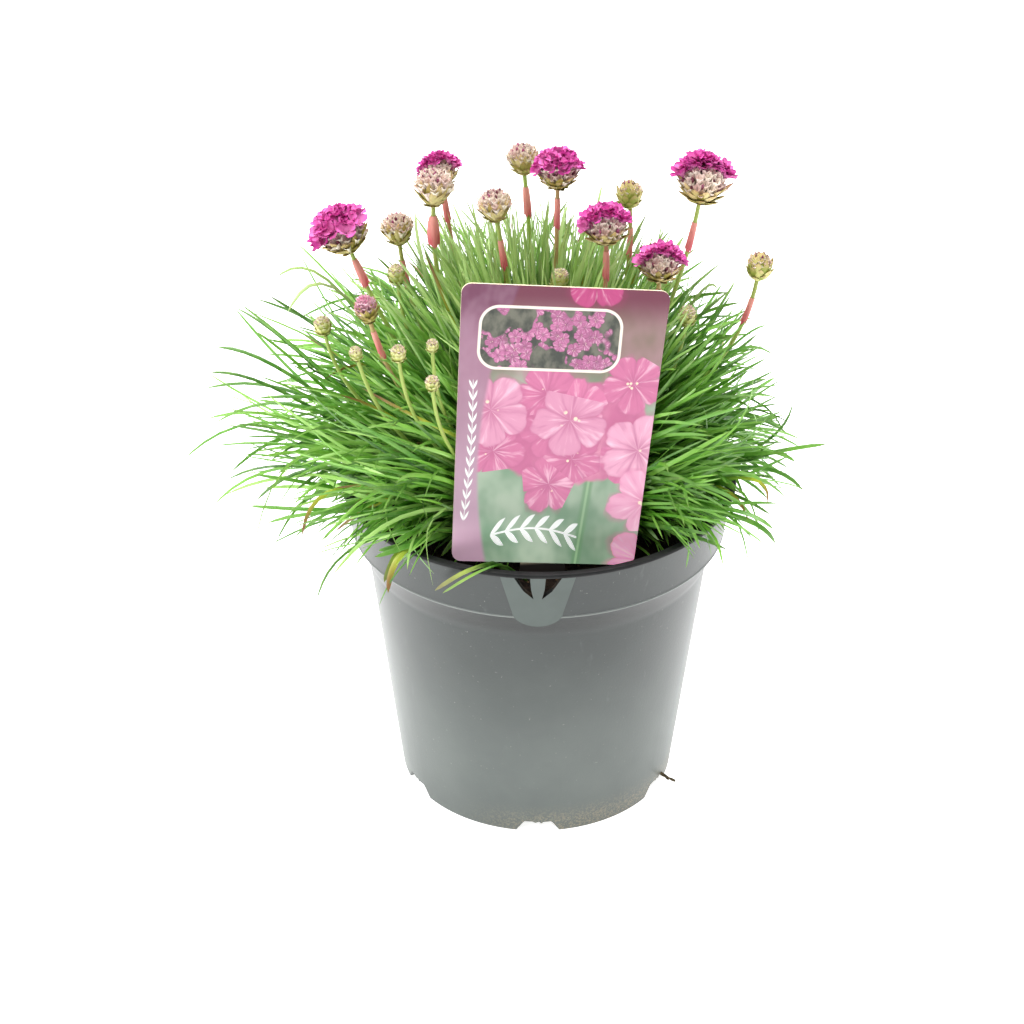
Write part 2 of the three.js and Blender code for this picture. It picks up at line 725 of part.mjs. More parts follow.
function labelClear(points, inverse) {
  const local = points.map((point) => point.clone().applyMatrix4(inverse));
  const half = LABEL_WIDTH / 2 + 1.6;
  return local.every((here, i) => {
    const near = Math.abs(here.x) < half && here.z > -6 && here.z < LABEL_HEIGHT + 1.6;
    if (near && Math.abs(here.y) < 1.8) {
      return false;
    }
    if (i === 0) {
      return true;
    }
    const before = local[i - 1];
    if (before.y * here.y > 0) {
      return true;
    }
    const cut = before.clone().lerp(here, before.y / (before.y - here.y));
    return Math.abs(cut.x) > half || cut.z < -6 || cut.z > LABEL_HEIGHT + 1.6;
  });
}

function stemObstacles() {
  return [...HEADS, ...BUDS].map((head) => ({
    line: stemCurve(head).getPoints(10),
    low: stemTop(head).top,
    middle: new THREE.Vector3(...head.at),
    radius: HEAD_RADIUS * head.size + 1.2,
    sheath: HEADS.includes(head),
  }));
}

function stemsClear(points, obstacles) {
  return obstacles.every((stem) => {
    for (let i = 1; i < points.length; i += 1) {
      if (segmentGap(points[i - 1], points[i], stem.low, stem.middle) < stem.radius) {
        return false;
      }
      for (let k = 1; k < stem.line.length; k += 1) {
        const extra = stem.sheath && k > 7 ? 1.4 : 0;
        if (segmentGap(points[i - 1], points[i], stem.line[k - 1], stem.line[k]) < STEM_CLEARANCE + extra) {
          return false;
        }
      }
    }
    return true;
  });
}

// True where two leaves keep their distance from each other past their roots
function leavesClear(points, others) {
  return others.every((other) => {
    for (let i = 2; i < points.length; i += 1) {
      for (let k = 2; k < other.length; k += 1) {
        const far = points[i].distanceTo(other[k]) > LEAF_LONGEST_STEP * 2 + LEAF_SPACING;
        if (!far && segmentGap(points[i - 1], points[i], other[k - 1], other[k]) < LEAF_SPACING) {
          return false;
        }
      }
    }
    return true;
  });
}

// True where a leaf is clear of the pot, the label, the stems and heads, and the leaves before it
function freeLeaf(curve, obstacles, inverse, others) {
  const points = curve.getPoints(LEAF_STEPS);
  const free = points.slice(3).every(potClear) && labelClear(points, inverse);
  return free && stemsClear(points, obstacles) && leavesClear(points, others);
}

function clearLeaf(index, obstacles, inverse, others) {
  for (let attempt = 0; attempt < LEAF_TRIES; attempt += 1) {
    const curve = new THREE.QuadraticBezierCurve3(...leafPoints(index, attempt));
    if (freeLeaf(curve, obstacles, inverse, others)) {
      return curve;
    }
  }
  return null;
}

// A leaf from the crown through a given point to its tip. Each attempt turns its root round the crown
function longLeaf(tipAt, passedAt, attempt) {
  const tip = new THREE.Vector3(...tipAt);
  const passed = new THREE.Vector3(...passedAt);
  const turn = LONG_LEAF_TURN * Math.ceil(attempt / 2) * (attempt % 2 ? -1 : 1);
  const azimuth = Math.atan2(passed.y, passed.x) + turn;
  const rootRadius = Math.min(CROWN_RADIUS - 4, Math.hypot(passed.x, passed.y) * 0.45);
  const rootZ = crownHeight(rootRadius) - 3;
  const root = new THREE.Vector3(rootRadius * Math.cos(azimuth), rootRadius * Math.sin(azimuth), rootZ);
  const [t, s] = [LONG_LEAF_SHARE, 1 - LONG_LEAF_SHARE];
  const middle = passed.clone().addScaledVector(root, -s * s).addScaledVector(tip, -t * t);
  return new THREE.QuadraticBezierCurve3(root, middle.multiplyScalar(1 / (2 * t * s)), tip);
}

function leafSolid(curve) {
  const taper = (t) => Math.max(0, 1 - Math.pow(t, 3)) * (t > 0.999 ? 0 : 1);
  const width = (t) => [(LEAF_WIDTH / 2) * taper(t), (LEAF_THICKNESS / 1.5) * taper(t)];
  return toSolid(bentAlong(unitRod(3, LEAF_SPANS), curve, width));
}

function foliageSolid() {
  const obstacles = stemObstacles();
  const inverse = labelMatrix().invert();
  const lines = [];
  const curves = [];
  const keep = (curve) => {
    curves.push(curve);
    lines.push(curve.getPoints(LEAF_STEPS));
  };
  LONG_LEAVES.forEach(([tip, passed]) => {
    for (let attempt = 0; attempt < LONG_LEAF_TRIES; attempt += 1) {
      const curve = longLeaf(tip, passed, attempt);
      if (freeLeaf(curve, obstacles, inverse, lines)) {
        keep(curve);
        return;
      }
    }
  });
  for (let i = 0; i < LEAF_COUNT; i += 1) {
    const curve = clearLeaf(i, obstacles, inverse, lines);
    if (curve) {
      keep(curve);
    }
  }
  const leaves = curves.map(leafSolid);
  const grown = crownSolid().add(joined(leaves));
  const holes = [...HEADS, ...BUDS].map((head) => stemSolid(head, GAP));
  return grown.subtract(joined(holes));
}

const thrift = new THREE.Group();
thrift.name = 'potted_sea_thrift';
thrift.add(toMesh(potSolid(), 'pot', COLOURS.pot, 0.55));
thrift.add(toMesh(soilSolid(), 'soil', COLOURS.soil, 1));
thrift.add(toMesh(labelSolid(), 'label', COLOURS.label, 0.45));
thrift.add(toMesh(foliageSolid(), 'foliage', COLOURS.leaf, 0.6));

HEADS.forEach((head, index) => {
  thrift.add(toMesh(stemSolid(head, 0), `stem_${head.name}`, COLOURS.stem, 0.6));
  thrift.add(toMesh(sheathSolid(head), `sheath_${head.name}`, COLOURS.sheath, 0.7));
  if (head.kind === 'bloom') {
    const petals = placedOnStem(corolla(index), head, false);
    thrift.add(toMesh(placedOnStem(bloomCup(), head, true), `cup_${head.name}`, COLOURS.bract, 0.8));
    thrift.add(toMesh(petals, `petals_${head.name}`, COLOURS.petal, 0.6));
  } else if (head.kind === 'papery') {
    thrift.add(toMesh(placedOnStem(paperyHead(), head, true), `head_${head.name}`, COLOURS.papery, 0.8));
  } else {
    thrift.add(toMesh(placedOnStem(budHead(), head, true), `bud_${head.name}`, COLOURS.bud, 0.8));
  }
});

BUDS.forEach((bud) => {
  const stem = stemSolid(bud, 0);
  const whole = stem.add(placedOnStem(budHead(), bud, false));
  thrift.add(toMesh(whole, `small_bud_${bud.name}`, COLOURS.bud, 0.8));
});

export default thrift;
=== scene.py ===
import math
from functools import partialmethod

import bpy
import numpy as np
from mathutils import Euler, Matrix, Vector


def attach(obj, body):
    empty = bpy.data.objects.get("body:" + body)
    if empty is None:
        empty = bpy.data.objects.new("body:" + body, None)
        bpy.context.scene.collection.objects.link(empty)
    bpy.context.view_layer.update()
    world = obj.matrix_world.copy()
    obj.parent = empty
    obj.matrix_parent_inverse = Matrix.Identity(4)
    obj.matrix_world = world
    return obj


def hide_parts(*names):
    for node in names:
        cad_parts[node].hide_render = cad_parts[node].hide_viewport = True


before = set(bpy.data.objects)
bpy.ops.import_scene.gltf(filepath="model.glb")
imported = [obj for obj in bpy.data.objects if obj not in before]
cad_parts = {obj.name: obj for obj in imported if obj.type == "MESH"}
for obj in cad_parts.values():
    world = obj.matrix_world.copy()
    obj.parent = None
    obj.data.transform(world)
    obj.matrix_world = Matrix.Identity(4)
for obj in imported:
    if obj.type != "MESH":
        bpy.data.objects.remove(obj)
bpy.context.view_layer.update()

# Lengths in this script are millimetres. Each finished piece is scaled to metres once, at its end.
MM = 0.001

# Camera, from the pot's ellipses in the photograph
VIEW_ELEVATION = 30.51
VIEW_DISTANCE = 700.0
VIEW_TARGET = (-8.67, 0.0, 97.0)
VIEW_FOCAL_PIXELS = 2101.9
IMAGE_PIXELS = 1024
SENSOR = 36.0

# Pot
POT_HEIGHT = 113.0
RIM_RADIUS = 65.0
COLLAR_LOW_RADIUS = 61.7
COLLAR_LOW_Z = 95.5
SHOULDER_RADIUS = 56.8
SHOULDER_Z = 86.0
FOOT_RADIUS = 47.3
WALL = 1.4
LIP_HEIGHT = 1.5
LIP_REACH = 0.9
FLOOR_Z = 5.0
FLOOR_THICKNESS = 1.4
PAD_RADIUS = 14.0
FOOT_RING_WIDTH = 1.8
POT_COLUMNS = 160
NOTCH_COUNT = 6
NOTCH_LOW_WIDTH = 15.0
NOTCH_TOP_WIDTH = 10.0
NOTCH_HEIGHT = 4.4
BADGE_TOP_WIDTH = 23.4
BADGE_LOW_WIDTH = 15.8
BADGE_SHOULDER_DROP = 13.9
BADGE_DROP = 19.4
BADGE_PROUD = 0.45
BADGE_SIDE = -0.8
SLOT_WIDTH = 4.9
SLOT_DROP = 8.2
SLOT_INNER_GAP = 4.8
SLOT_LOW_GAP = 2.6

# Soil and crown
GAP = 0.3
SOIL_EDGE_Z = 101.0
SOIL_INNER_Z = 103.5
SOIL_RISE = 3.2
SOIL_CRUMBS = 1.8
SOIL_COLUMNS = 96
SOIL_RINGS = 24
CROWN_RADIUS = 40.0
CROWN_TOP_Z = 118.0
ROOT_THREADS = [
    ((35, -14, 7.5), (42, -21, 4.0), (47.8, -23.6, 2.9)),
    ((35, -14, 7.2), (43, -20.6, 3.6), (45.6, -23.2, 3.4)),
]
ROOT_WIDTHS = (0.5, 0.5, 0.5, 0.5, 0.5, 0.5, 0.48, 0.56, 0.5, 0.3, 0.5, 0.4)

# Label
LABEL_FOOT = (0.9, -48.0, 107.1)
LABEL_TURN = (6.0, -6.8, 5.0)
LABEL_WIDTH = 62.2
LABEL_TAPER = 2.5
LABEL_HEIGHT = 89.4
LABEL_THICKNESS = 0.8
LABEL_CORNER = 3.0
STRIP_MIDDLE = (0.44, 1.175)
STRIP_HALF = (0.34, 0.155)
STRIP_CORNER = 0.09
CLUSTER_MIDDLE = (0.56, 0.70)
CLUSTER_HALF = (0.46, 0.34)
STAKE_WIDTH = 14.0
STAKE_LENGTH = 32.0
STAKE_POINT = 9.0

# Leaves
GOLDEN_ANGLE = math.pi * (3 - math.sqrt(5))
REACH_RIGHT = 80.0
REACH_LEFT = 91.0
REACH_BACK = 84.0
REACH_BACK_MOST = 90.0
REACH_FRONT = 68.0
DOME_BASE_Z = 112.0
DOME_HEIGHT = 90.0
DOME_SAG = 17.0
LEAF_COUNT = 3200
LEAF_LENGTH = 96.0
STRAY_LEFT = 2
STRAY_ELSEWHERE = 8
LOW_EVERY = 4
ROSETTE_COUNT = 90
LEAF_TRIES = 30
LEAF_STEPS = 12
WILD_SHARE = 0.3
OLD_SHARE = 0.015
RIGHT_PAINTED_SHADE = 0.72
LONG_TONE = 0.5
RIM_TONE = 0.3
LONG_TURN = 0.8
HEAD_CLEARANCE = 11.0
CARD_CLEARANCE = 1.4
SIDE_CLEARANCE = 1.2
WALL_CLEARANCE = 1.4
LIP_CLEARANCE = 1.2
FRONT_Y = -44.0
SHADED_X = 25.0
# Heights in metres over which the leaves are painted paler, as painted light
PAINTED_LIGHT_HEIGHTS = (0.164, 0.190)

# Stems and heads
STEM_RADIUS = 0.72
STEM_ROOT_Z = 106.0
STEM_ROOT_SPREAD = 0.36
SHEATH_LENGTH = 9.5
BACK = np.array((0.0, 1.0, 0.0))
HEAD_RISE = 6.5
STEM_SOCKET = 1.2
STEM_STEPS = 26
YOUNG_HEAD = "m"
YOUNG_SLENDER = 0.74
BUD_SLENDER = 0.84
BUD_BLUSH = 0.1
SHEATH_COLUMNS = 14
# Rows of the sheath from inside its top, over it and down to its open, wider end: share and radius
SHEATH_ROWS = [(0.98, 0.74), (1.0, 0.82), (0.9, 0.88), (0.7, 0.91), (0.45, 0.94), (0.2, 1.0), (0.0, 1.04),
               (0.0, 0.90), (0.35, 0.84), (0.7, 0.79)]

# Heads: name, kind, middle, tilt and size, and then where the sheath starts below the head, how red the
# stem is, how far a bloom's petals lean to the left, how far the sheath's lower end opens and how far a
# bloom's front petals come down
HEADS = [
    ("a", "bloom", (-61.0, -5, 200.2), (-0.36, -0.05), 1.08, (3.6, 0.1, 13, 0.4, 0.85)),
    ("b", "papery", (-32.4, -2, 213.6), (0.05, 0.0), 0.92, (4.0, 0.2, 0, 1.1, 0)),
    ("c", "bloom", (-31.5, 22, 209.6), (-0.14, 0.1), 0.8, (3.2, 0.9, 4, 0.1, 0.32)),
    ("d", "papery", (-45.0, 16, 192.4), (-0.1, 0.05), 0.82, (6.0, 0.3, 0, 0.1, 0)),
    ("e", "papery", (-14.1, -8, 210.2), (-0.16, 0.0), 0.8, (7.0, 0.1, 0, 0.1, 0)),
    ("f", "papery", (-5.3, 22, 213.6), (-0.1, 0.08), 0.78, (4.8, 0.0, 0, 0.3, 0)),
    ("g", "bloom", (5.2, -2, 219.2), (0.0, 0.0), 0.88, (4.2, 0.7, 3, 0.0, 0.8)),
    ("h", "bloom", (19.4, -16, 206.8), (-0.05, -0.05), 0.9, (3.2, 1.0, 4, 0.1, 0.3)),
    ("i", "bud", (28.0, 14, 205.8), (-0.07, 0.05), 0.8, (7.5, 0.4, 0, 0.0, 0)),
    ("j", "bloom", (36.2, -18, 195.4), (0.02, -0.05), 0.86, (3.6, 0.6, 0, 0.0, 0.22)),
    ("k", "bloom", (49.4, -4, 216.4), (0.14, 0.0), 1.08, (7.2, 0.1, 0, 0.1, 0.04)),
    ("l", "bud", (69.2, 4, 185.6), (0.12, 0.0), 0.82, (7.0, 0.2, 0, 0.0, 0)),
    ("m", "papery", (-52.2, -32, 186.4), (-0.22, -0.1), 0.64, (4.0, 0.6, 0, 0.0, 0)),
]
# Bracts in rings round the stem: count, radius, height, lean, width and length
RINGS = {
    "bloom": [(8, 0.5, 0.0, 74, 0.9, 1.0), (9, 1.2, 0.3, 64, 1.15, 1.5), (11, 2.0, 0.9, 56, 1.2, 1.8),
              (12, 3.0, 1.9, 46, 1.0, 1.95)],
    "papery": [(7, 0.5, 0.0, 66, 0.9, 0.9), (8, 1.2, 0.4, 52, 1.15, 1.4), (10, 2.1, 1.1, 40, 1.2, 1.9),
               (11, 3.2, 2.4, 28, 1.0, 2.1), (9, 3.6, 4.0, 20, 0.8, 1.8)],
    "bud": [(7, 0.6, 0.1, 66, 0.9, 0.9), (8, 1.6, 0.5, 52, 1.2, 1.25), (9, 3.0, 1.6, 30, 1.35, 1.5),
            (9, 4.0, 3.2, 12, 1.4, 1.6), (9, 4.0, 5.0, -8, 1.3, 1.5), (8, 3.0, 6.6, -22, 1.2, 1.4)],
}
# Shapes over a dome: count, the dome's two angles, height and reach, and the shapes' kind and size and the
# height on the stem's line that they point away from
DOMES = {
    "bloom": [(46, 0, 92, 5.4, 5.9, 1, 1.0, -1.5), (12, 50, 84, 5.4, 6.0, 2, 0.8, -1.5)],
    "papery": [(42, 0, 84, 7.0, 5.5, 1, 1.25, -1.5), (12, 0, 48, 7.0, 5.5, 2, 0.9, -1.5)],
    "bud": [(22, 0, 78, 6.4, 4.2, 1, 0.95, -0.5), (5, 0, 40, 7.2, 4.0, 2, 0.7, -1.0)],
}
PETAL_DOMES = [(25, 0, 70, 5.4, 7.9, 0, 0.86, 1.0), (11, 0, 50, 5.4, 7.2, 0, 0.8, 1.0)]
# Small buds among the leaves: name, middle, tilt and size
BUDS = [
    ("a", (-66.6, -22, 177.2), (-0.15, -0.1), 0.58),
    ("b", (-41.9, -52, 182.4), (-0.06, -0.14), 0.5),
    ("c", (-54.9, -46, 179.4), (-0.2, -0.12), 0.42),
    ("d", (-44.5, -6, 187.1), (-0.08, 0.0), 0.6),
    ("e", (-32.0, -56, 174.6), (-0.04, -0.2), 0.46),
    ("f", (-32.1, -46, 182.0), (0.0, -0.1), 0.4),
    ("g", (45.5, -14, 176.8), (0.1, 0.0), 0.6),
    ("h", (6.0, -12, 188.2), (0.04, 0.0), 0.62),
]

# Leaves that stand out of the tussock's outline: the tip, and a point that the leaf passes halfway
LONG_LEAVES = [
    (-82, -2, 183, -66, 0, 181), (-76, -30, 184, -63, -12, 184), (-97, 10, 167, -80, 4, 157),
    (-88, -14, 170, -77, -10, 158), (-103, 2, 157, -84, 0, 151), (-104, -10, 154, -85, -8, 148),
    (-109, 8, 139, -82, 0, 143), (-103, -14, 138, -79, -12, 144), (-116, -4, 119, -90, -6, 134),
    (-99, -24, 123, -81, -20, 126), (-89, -34, 121, -72, -26, 128), (-88, -40, 134, -69, -34, 127),
    (-92, -30, 117, -71, -34, 118), (-73, -52, 119, -65, -44, 130), (-68, -66, 105, -59, -60, 118),
    (-50, -64, 119, -38, -56, 119), (-46, -70, 110, -42, -60, 118), (-49, -70, 105, -41, -64, 117),
    (93, -6, 126, 74, -12, 126), (84, -22, 118, 71, -20, 125), (82, -16, 125, 69, -14, 128),
    (72, -46, 118, 61, -40, 121), (74, -40, 109, 64, -40, 118), (83, 6, 135, 74, -4, 126),
    (77, 10, 142, 65, 0, 139), (77, 14, 148, 61, 4, 154), (74, 16, 158, 62, 8, 154),
    (62, 10, 176, 56, 4, 168), (55, -6, 181, 48, -6, 177), (70, -44, 126, 66, -34, 129),
    (20, 26, 202, 17, 14, 192), (25, -4, 193, 21, -6, 181), (-39, 20, 197, -37, 8, 184),
    (-30, 26, 190, -28, 12, 178), (-15, 24, 187, -16, 10, 180), (9, 24, 196, 6, 10, 187),
]
OLD_LEAVES = (13, 16, 29)
BROAD_LEAVES = {15: 1.6, 16: 1.6, 17: 0.7, 18: 2.0, 19: 1.5, 20: 1.4, 21: 1.8, 22: 1.5}
# Leaves that lie over the rim: the points that each passes, its width and its age
RIM_LEAVES = [
    ([(-7, -51, 102.6), (-13, -57.5, 112.4), (-18.5, -62, 114.2), (-25, -61.8, 111), (-32.4, -57.8, 103)],
     1.4, 0.6),
    ([(-4, -51.5, 102.4), (-11, -58.5, 112.6), (-17, -63.2, 114), (-23, -63.4, 110.6), (-30, -60.2, 103.6)],
     1.2, 0.3),
    ([(-24, -34, 106), (-35, -50, 117), (-43, -57.5, 119), (-49, -61, 119.4)], 1.7, 0.0),
    ([(-22, -33, 107), (-34.5, -49.5, 120), (-40, -56, 122), (-44, -60, 121.6)], 1.5, 0.0),
    ([(-25, -32, 106), (-37, -50, 116.6), (-44, -58, 116), (-47.6, -62.4, 109)], 1.6, 0.35),
]

# Light of the white wall behind the pot and of the darker room in front of it
WALL_LIGHT = 1.5
ROOM_LIGHT = 0.3
RIGHT_DIMMER = 0.25

# Noise: scale, detail and roughness, and for two of them a stretch
PLASTIC_GRAIN = ((1400, 3, 0.6), 0.08, 0.0004)
SCUFFS = (200, 3, 0.7, (1, 1, 0.35))
DUST = (800, 2, 0.7)
GRIT = (1300, 3, 0.8)
SHEATH_STREAKS = (520, 3, 0.55, (1, 1, 0.15))
# Painted light: how much brighter the label's print is made at its foot
FOOT_PAINTED_LIGHT = (2.6, 2.6, 2.6)

# Seeds
SOIL_SEED = 77
SHEATH_SEED = 500
HEAD_SEED = 900
PETAL_SEED = 1300
BUD_SEED = 1700
LEAF_SEED = 41000
LONG_LEAF_SEED = 99


class Draws:
    """Seeded draws from 0 to 1."""

    def __init__(self, seed):
        self.state = seed & 0xFFFFFFFF
        for _ in range(4):
            self.next()

    def next(self):
        self.state = (self.state * 1664525 + 1013904223) & 0xFFFFFFFF
        return self.state / 4294967296

    def about(self, spread):
        return (self.next() - 0.5) * spread

    def between(self, low, high):
        return low + (high - low) * self.next()


def linear(r, g, b):
    """A display colour from 0 to 255 as the linear colour that a shader takes."""
    parts = []
    for value in (r, g, b):
        share = value / 255
        parts.append(share / 12.92 if share <= 0.04045 else ((share + 0.055) / 1.055) ** 2.4)
    return (*parts, 1.0)


# Curves and frames shared by stems, sheaths and leaves
def quadratic(root, middle, tip, steps):
    t = np.linspace(0, 1, steps)[:, None]
    return (1 - t) ** 2 * root + 2 * t * (1 - t) * middle + t ** 2 * tip


def cubic(points, t):
    a, b, c, d = points
    t = np.asarray(t, float)[:, None]
    return (1 - t) ** 3 * a + 3 * t * (1 - t) ** 2 * b + 3 * t ** 2 * (1 - t) * c + t ** 3 * d


def around(radius, angle, z=0.0):
    return radius * math.cos(angle), radius * math.sin(angle), z


def even_angles(count):
    return [2 * math.pi * i / count for i in range(count)]


def unit(vector):
    return vector / np.linalg.norm(vector)


def head_frame(up):
    """Three axes whose Z follows the stem, with X to the right and Y to the back."""
    y = unit(BACK - up * (BACK @ up))
    return np.cross(y, up), y, up


def stem_top(at, tilt, size):
    up = unit(np.array((tilt[0], tilt[1], 1.0)))
    return up, np.array(at, float) - up * HEAD_RISE * size


def stem_points(at, tilt, size):
    up, top = stem_top(at, tilt, size)
    root = np.array((top[0] * STEM_ROOT_SPREAD, top[1] * STEM_ROOT_SPREAD, STEM_ROOT_Z))
    reach = np.linalg.norm(top - root)
    low = root + (top - root) * 0.35 + np.array((0, 0, reach * 0.06))
    return root, low, top - up * reach * 0.4, top


def inside_radius(z):
    heights = (FLOOR_Z + FLOOR_THICKNESS, SHOULDER_Z, COLLAR_LOW_Z + 0.3, POT_HEIGHT)
    radii = (
        FOOT_RADIUS - WALL + 0.2,
        SHOULDER_RADIUS - WALL,
        COLLAR_LOW_RADIUS - WALL,
        RIM_RADIUS - LIP_REACH - WALL,
    )
    return float(np.interp(z, heights, radii))


# Mesh building
def new_object(name, vertices, faces=(), edges=(), **fields):
    """A mesh object, with one number or vector per vertex for each field."""
    mesh = bpy.data.meshes.new(name)
    mesh.from_pydata([tuple(v) for v in vertices], edges, faces)
    mesh.update()
    for key, values in fields.items():
        values = np.asarray(values, np.float32)
        kind, part = ("FLOAT", "value") if values.ndim == 1 else ("FLOAT_VECTOR", "vector")
        mesh.attributes.new(key, kind, "POINT").data.foreach_set(part, values.ravel())
    made = bpy.data.objects.new(name, mesh)
    bpy.context.scene.collection.objects.link(made)
    return made


def tube_faces(rows, columns, closed=False):
    """The faces between a tube's rings of vertices. A closed tube's last ring joins its first."""
    faces = []
    for row in range(rows if closed else rows - 1):
        a, b = row * columns, (row + 1) % rows * columns
        for i in range(columns):
            k = (i + 1) % columns
            faces.append((a + i, a + k, b + k, b + i))
    return faces


def revolved(name, profile, columns):
    """A closed solid of revolution. Its profile of radius and height starts and ends on the axis."""
    rows = profile[1:-1]
    vertices = [around(r, angle, z) for angle in even_angles(columns) for r, z in rows]
    count = len(rows)
    first, last = len(vertices), len(vertices) + 1
    vertices += [(0, 0, profile[0][1]), (0, 0, profile[-1][1])]
    faces = []
    for i in range(columns):
        here, after = i * count, ((i + 1) % columns) * count
        faces += [(here + k, after + k, after + k + 1, here + k + 1) for k in range(count - 1)]
        faces.append((first, after, here))
        faces.append((last, here + count - 1, after + count - 1))
    return outward(new_object(name, vertices, faces))


def extruded(name, outline, depth):
    """A block from an outline in X and Z, from Y 0 to Y depth."""
    count = len(outline)
    vertices = [(x, 0, z) for x, z in outline] + [(x, depth, z) for x, z in outline]
    faces = [tuple(range(count)), tuple(range(2 * count - 1, count - 1, -1))]
    for i in range(count):
        after = (i + 1) % count
        faces.append((i, i + count, after + count, after))
    return outward(new_object(name, vertices, faces))


def cut(target, tool, operation):
    modifier = target.modifiers.new(operation, "BOOLEAN")
    modifier.operation = operation
    modifier.object = tool
    modifier.solver = "EXACT"
    modifier.material_mode = "TRANSFER"
    made = plain(target)
    bpy.data.objects.remove(tool)
    return made


def plain(source):
    """Swaps an object's mesh for its evaluated one and removes its modifiers."""
    graph = bpy.context.evaluated_depsgraph_get()
    mesh = bpy.data.meshes.new_from_object(
        source.evaluated_get(graph), preserve_all_data_layers=True, depsgraph=graph
    )
    source.modifiers.clear()
    source.data = mesh
    return source


def outward(piece):
    """Turns a closed piece's faces outward."""
    bpy.context.view_layer.objects.active = piece
    bpy.ops.object.select_all(action="DESELECT")
    piece.select_set(True)
    bpy.ops.object.mode_set(mode="EDIT")
    bpy.ops.mesh.select_all(action="SELECT")
    bpy.ops.mesh.normals_make_consistent(inside=False)
    bpy.ops.object.mode_set(mode="OBJECT")
    return piece


def settled(piece, nodes):
    """Scales a finished piece to metres and ties it to the frame."""
    piece.data.transform(Matrix.Scale(MM, 4))
    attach(piece, "root")
    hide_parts(*nodes)
    return piece


def smooth(piece, angle=35):
    piece.data.shade_smooth()
    piece.data.set_sharp_from_angle(angle=math.radians(angle))


# Shader nodes
class Nodes:
    """Short calls that add nodes to a tree."""

    def __init__(self, tree):
        self.tree = tree

    def put(self, socket, value):
        if isinstance(value, bpy.types.NodeSocket):
            self.tree.links.new(value, socket)
        else:
            socket.default_value = value

    def add(self, kind, inputs=(), **settings):
        """The outputs of a new node with these settings and inputs."""
        node = self.tree.nodes.new(kind)
        for key, value in settings.items():
            setattr(node, key, value)
        for key, value in dict(inputs).items():
            self.put(node.inputs[key], value)
        return node.outputs

    def math(self, operation, a, b=0.0, c=0.0):
        return self.add("ShaderNodeMath", {0: a, 1: b, 2: c}, operation=operation)[0]

    times = partialmethod(math, "MULTIPLY")
    plus = partialmethod(math, "ADD")
    minus = partialmethod(math, "SUBTRACT")
    scaled = partialmethod(math, "MULTIPLY_ADD")
    size = partialmethod(math, "ABSOLUTE")

    def diagonal(self, a, b):
        return self.math("SQRT", self.plus(self.times(a, a), self.times(b, b)))

    def vector(self, operation, a, b=(0, 0, 0)):
        return self.add("ShaderNodeVectorMath", {0: a, 1: b}, operation=operation)[0]

    def parts(self, vector):
        return self.add("ShaderNodeSeparateXYZ", {0: vector})

    def mix(self, share, a, b):
        """Mixes two colours, each a socket or a display colour."""
        a, b = (linear(*colour) if isinstance(colour, tuple) else colour for colour in (a, b))
        return self.add("ShaderNodeMix", {0: share, 6: a, 7: b}, data_type="RGBA")[2]

    def ramp(self, value, low, high):
        """0 at low and 1 at high, and smooth in between."""
        inputs = {"Value": value, "From Min": low, "From Max": high}
        return self.add("ShaderNodeMapRange", inputs, interpolation_type="SMOOTHSTEP")["Result"]

    def place(self, stretch=(1, 1, 1)):
        """Object coordinates, in metres times the stretch."""
        source = self.add("ShaderNodeTexCoord")["Object"]
        return self.add("ShaderNodeMapping", {"Vector": source, "Scale": stretch})[0]

    def noise(self, scale, detail=3.0, rough=0.55, at=(1, 1, 1)):
        """Noise at a vector, or at Object coordinates with a stretch."""
        vector = self.place(at) if isinstance(at, tuple) else at
        inputs = {"Vector": vector, "Scale": scale, "Detail": detail, "Roughness": rough}
        return self.add("ShaderNodeTexNoise", inputs)["Fac"]

    def cells(self, vector, scale):
        return self.add("ShaderNodeTexVoronoi", {"Vector": vector, "Scale": scale})["Distance"]

    def source(self, kind):
        """An attribute by its name, noise by its numbers, or the value as it is."""
        if isinstance(kind, str):
            return self.add("ShaderNodeAttribute", attribute_name=kind)["Fac"]
        return self.noise(*kind) if isinstance(kind, tuple) else kind

    def coats(self, ground, *coats):
        """Lays colours over a ground. Each coat is a source, its values where the coat starts and is full,
        the coat's strength and its colour."""
        for source, low, high, strength, colour in coats:
            share = self.times(self.ramp(self.source(source), low, high), self.source(strength))
            ground = self.mix(share, ground, colour)
        return ground


class Shader(Nodes):
    """A material with a Principled surface."""

    def __init__(self, name, roughness, specular=0.5, **shader):
        self.material = bpy.data.materials.new(name)
        self.material.use_nodes = True
        super().__init__(self.material.node_tree)
        self.surface = self.tree.nodes["Principled BSDF"]
        for key, value in {"Roughness": roughness, "Specular IOR Level": specular, **shader}.items():
            self.surface.inputs[key.replace("_", " ")].default_value = value

    def bump(self, height, strength, distance):
        inputs = {"Height": height, "Strength": strength, "Distance": distance}
        self.put(self.surface.inputs["Normal"], self.add("ShaderNodeBump", inputs)[0])

    def colour(self, value):
        self.put(self.surface.inputs["Base Color"], value)
        return self.material


def coated(name, roughness, specular, ground, *coats, grain=None):
    """A material of coats over a ground. Its grain is the noise's numbers, a strength and a height."""
    s = Shader(name, roughness, specular)
    if grain:
        s.bump(s.noise(*grain[0]), *grain[1:])
    return s.colour(s.coats(ground, *coats))


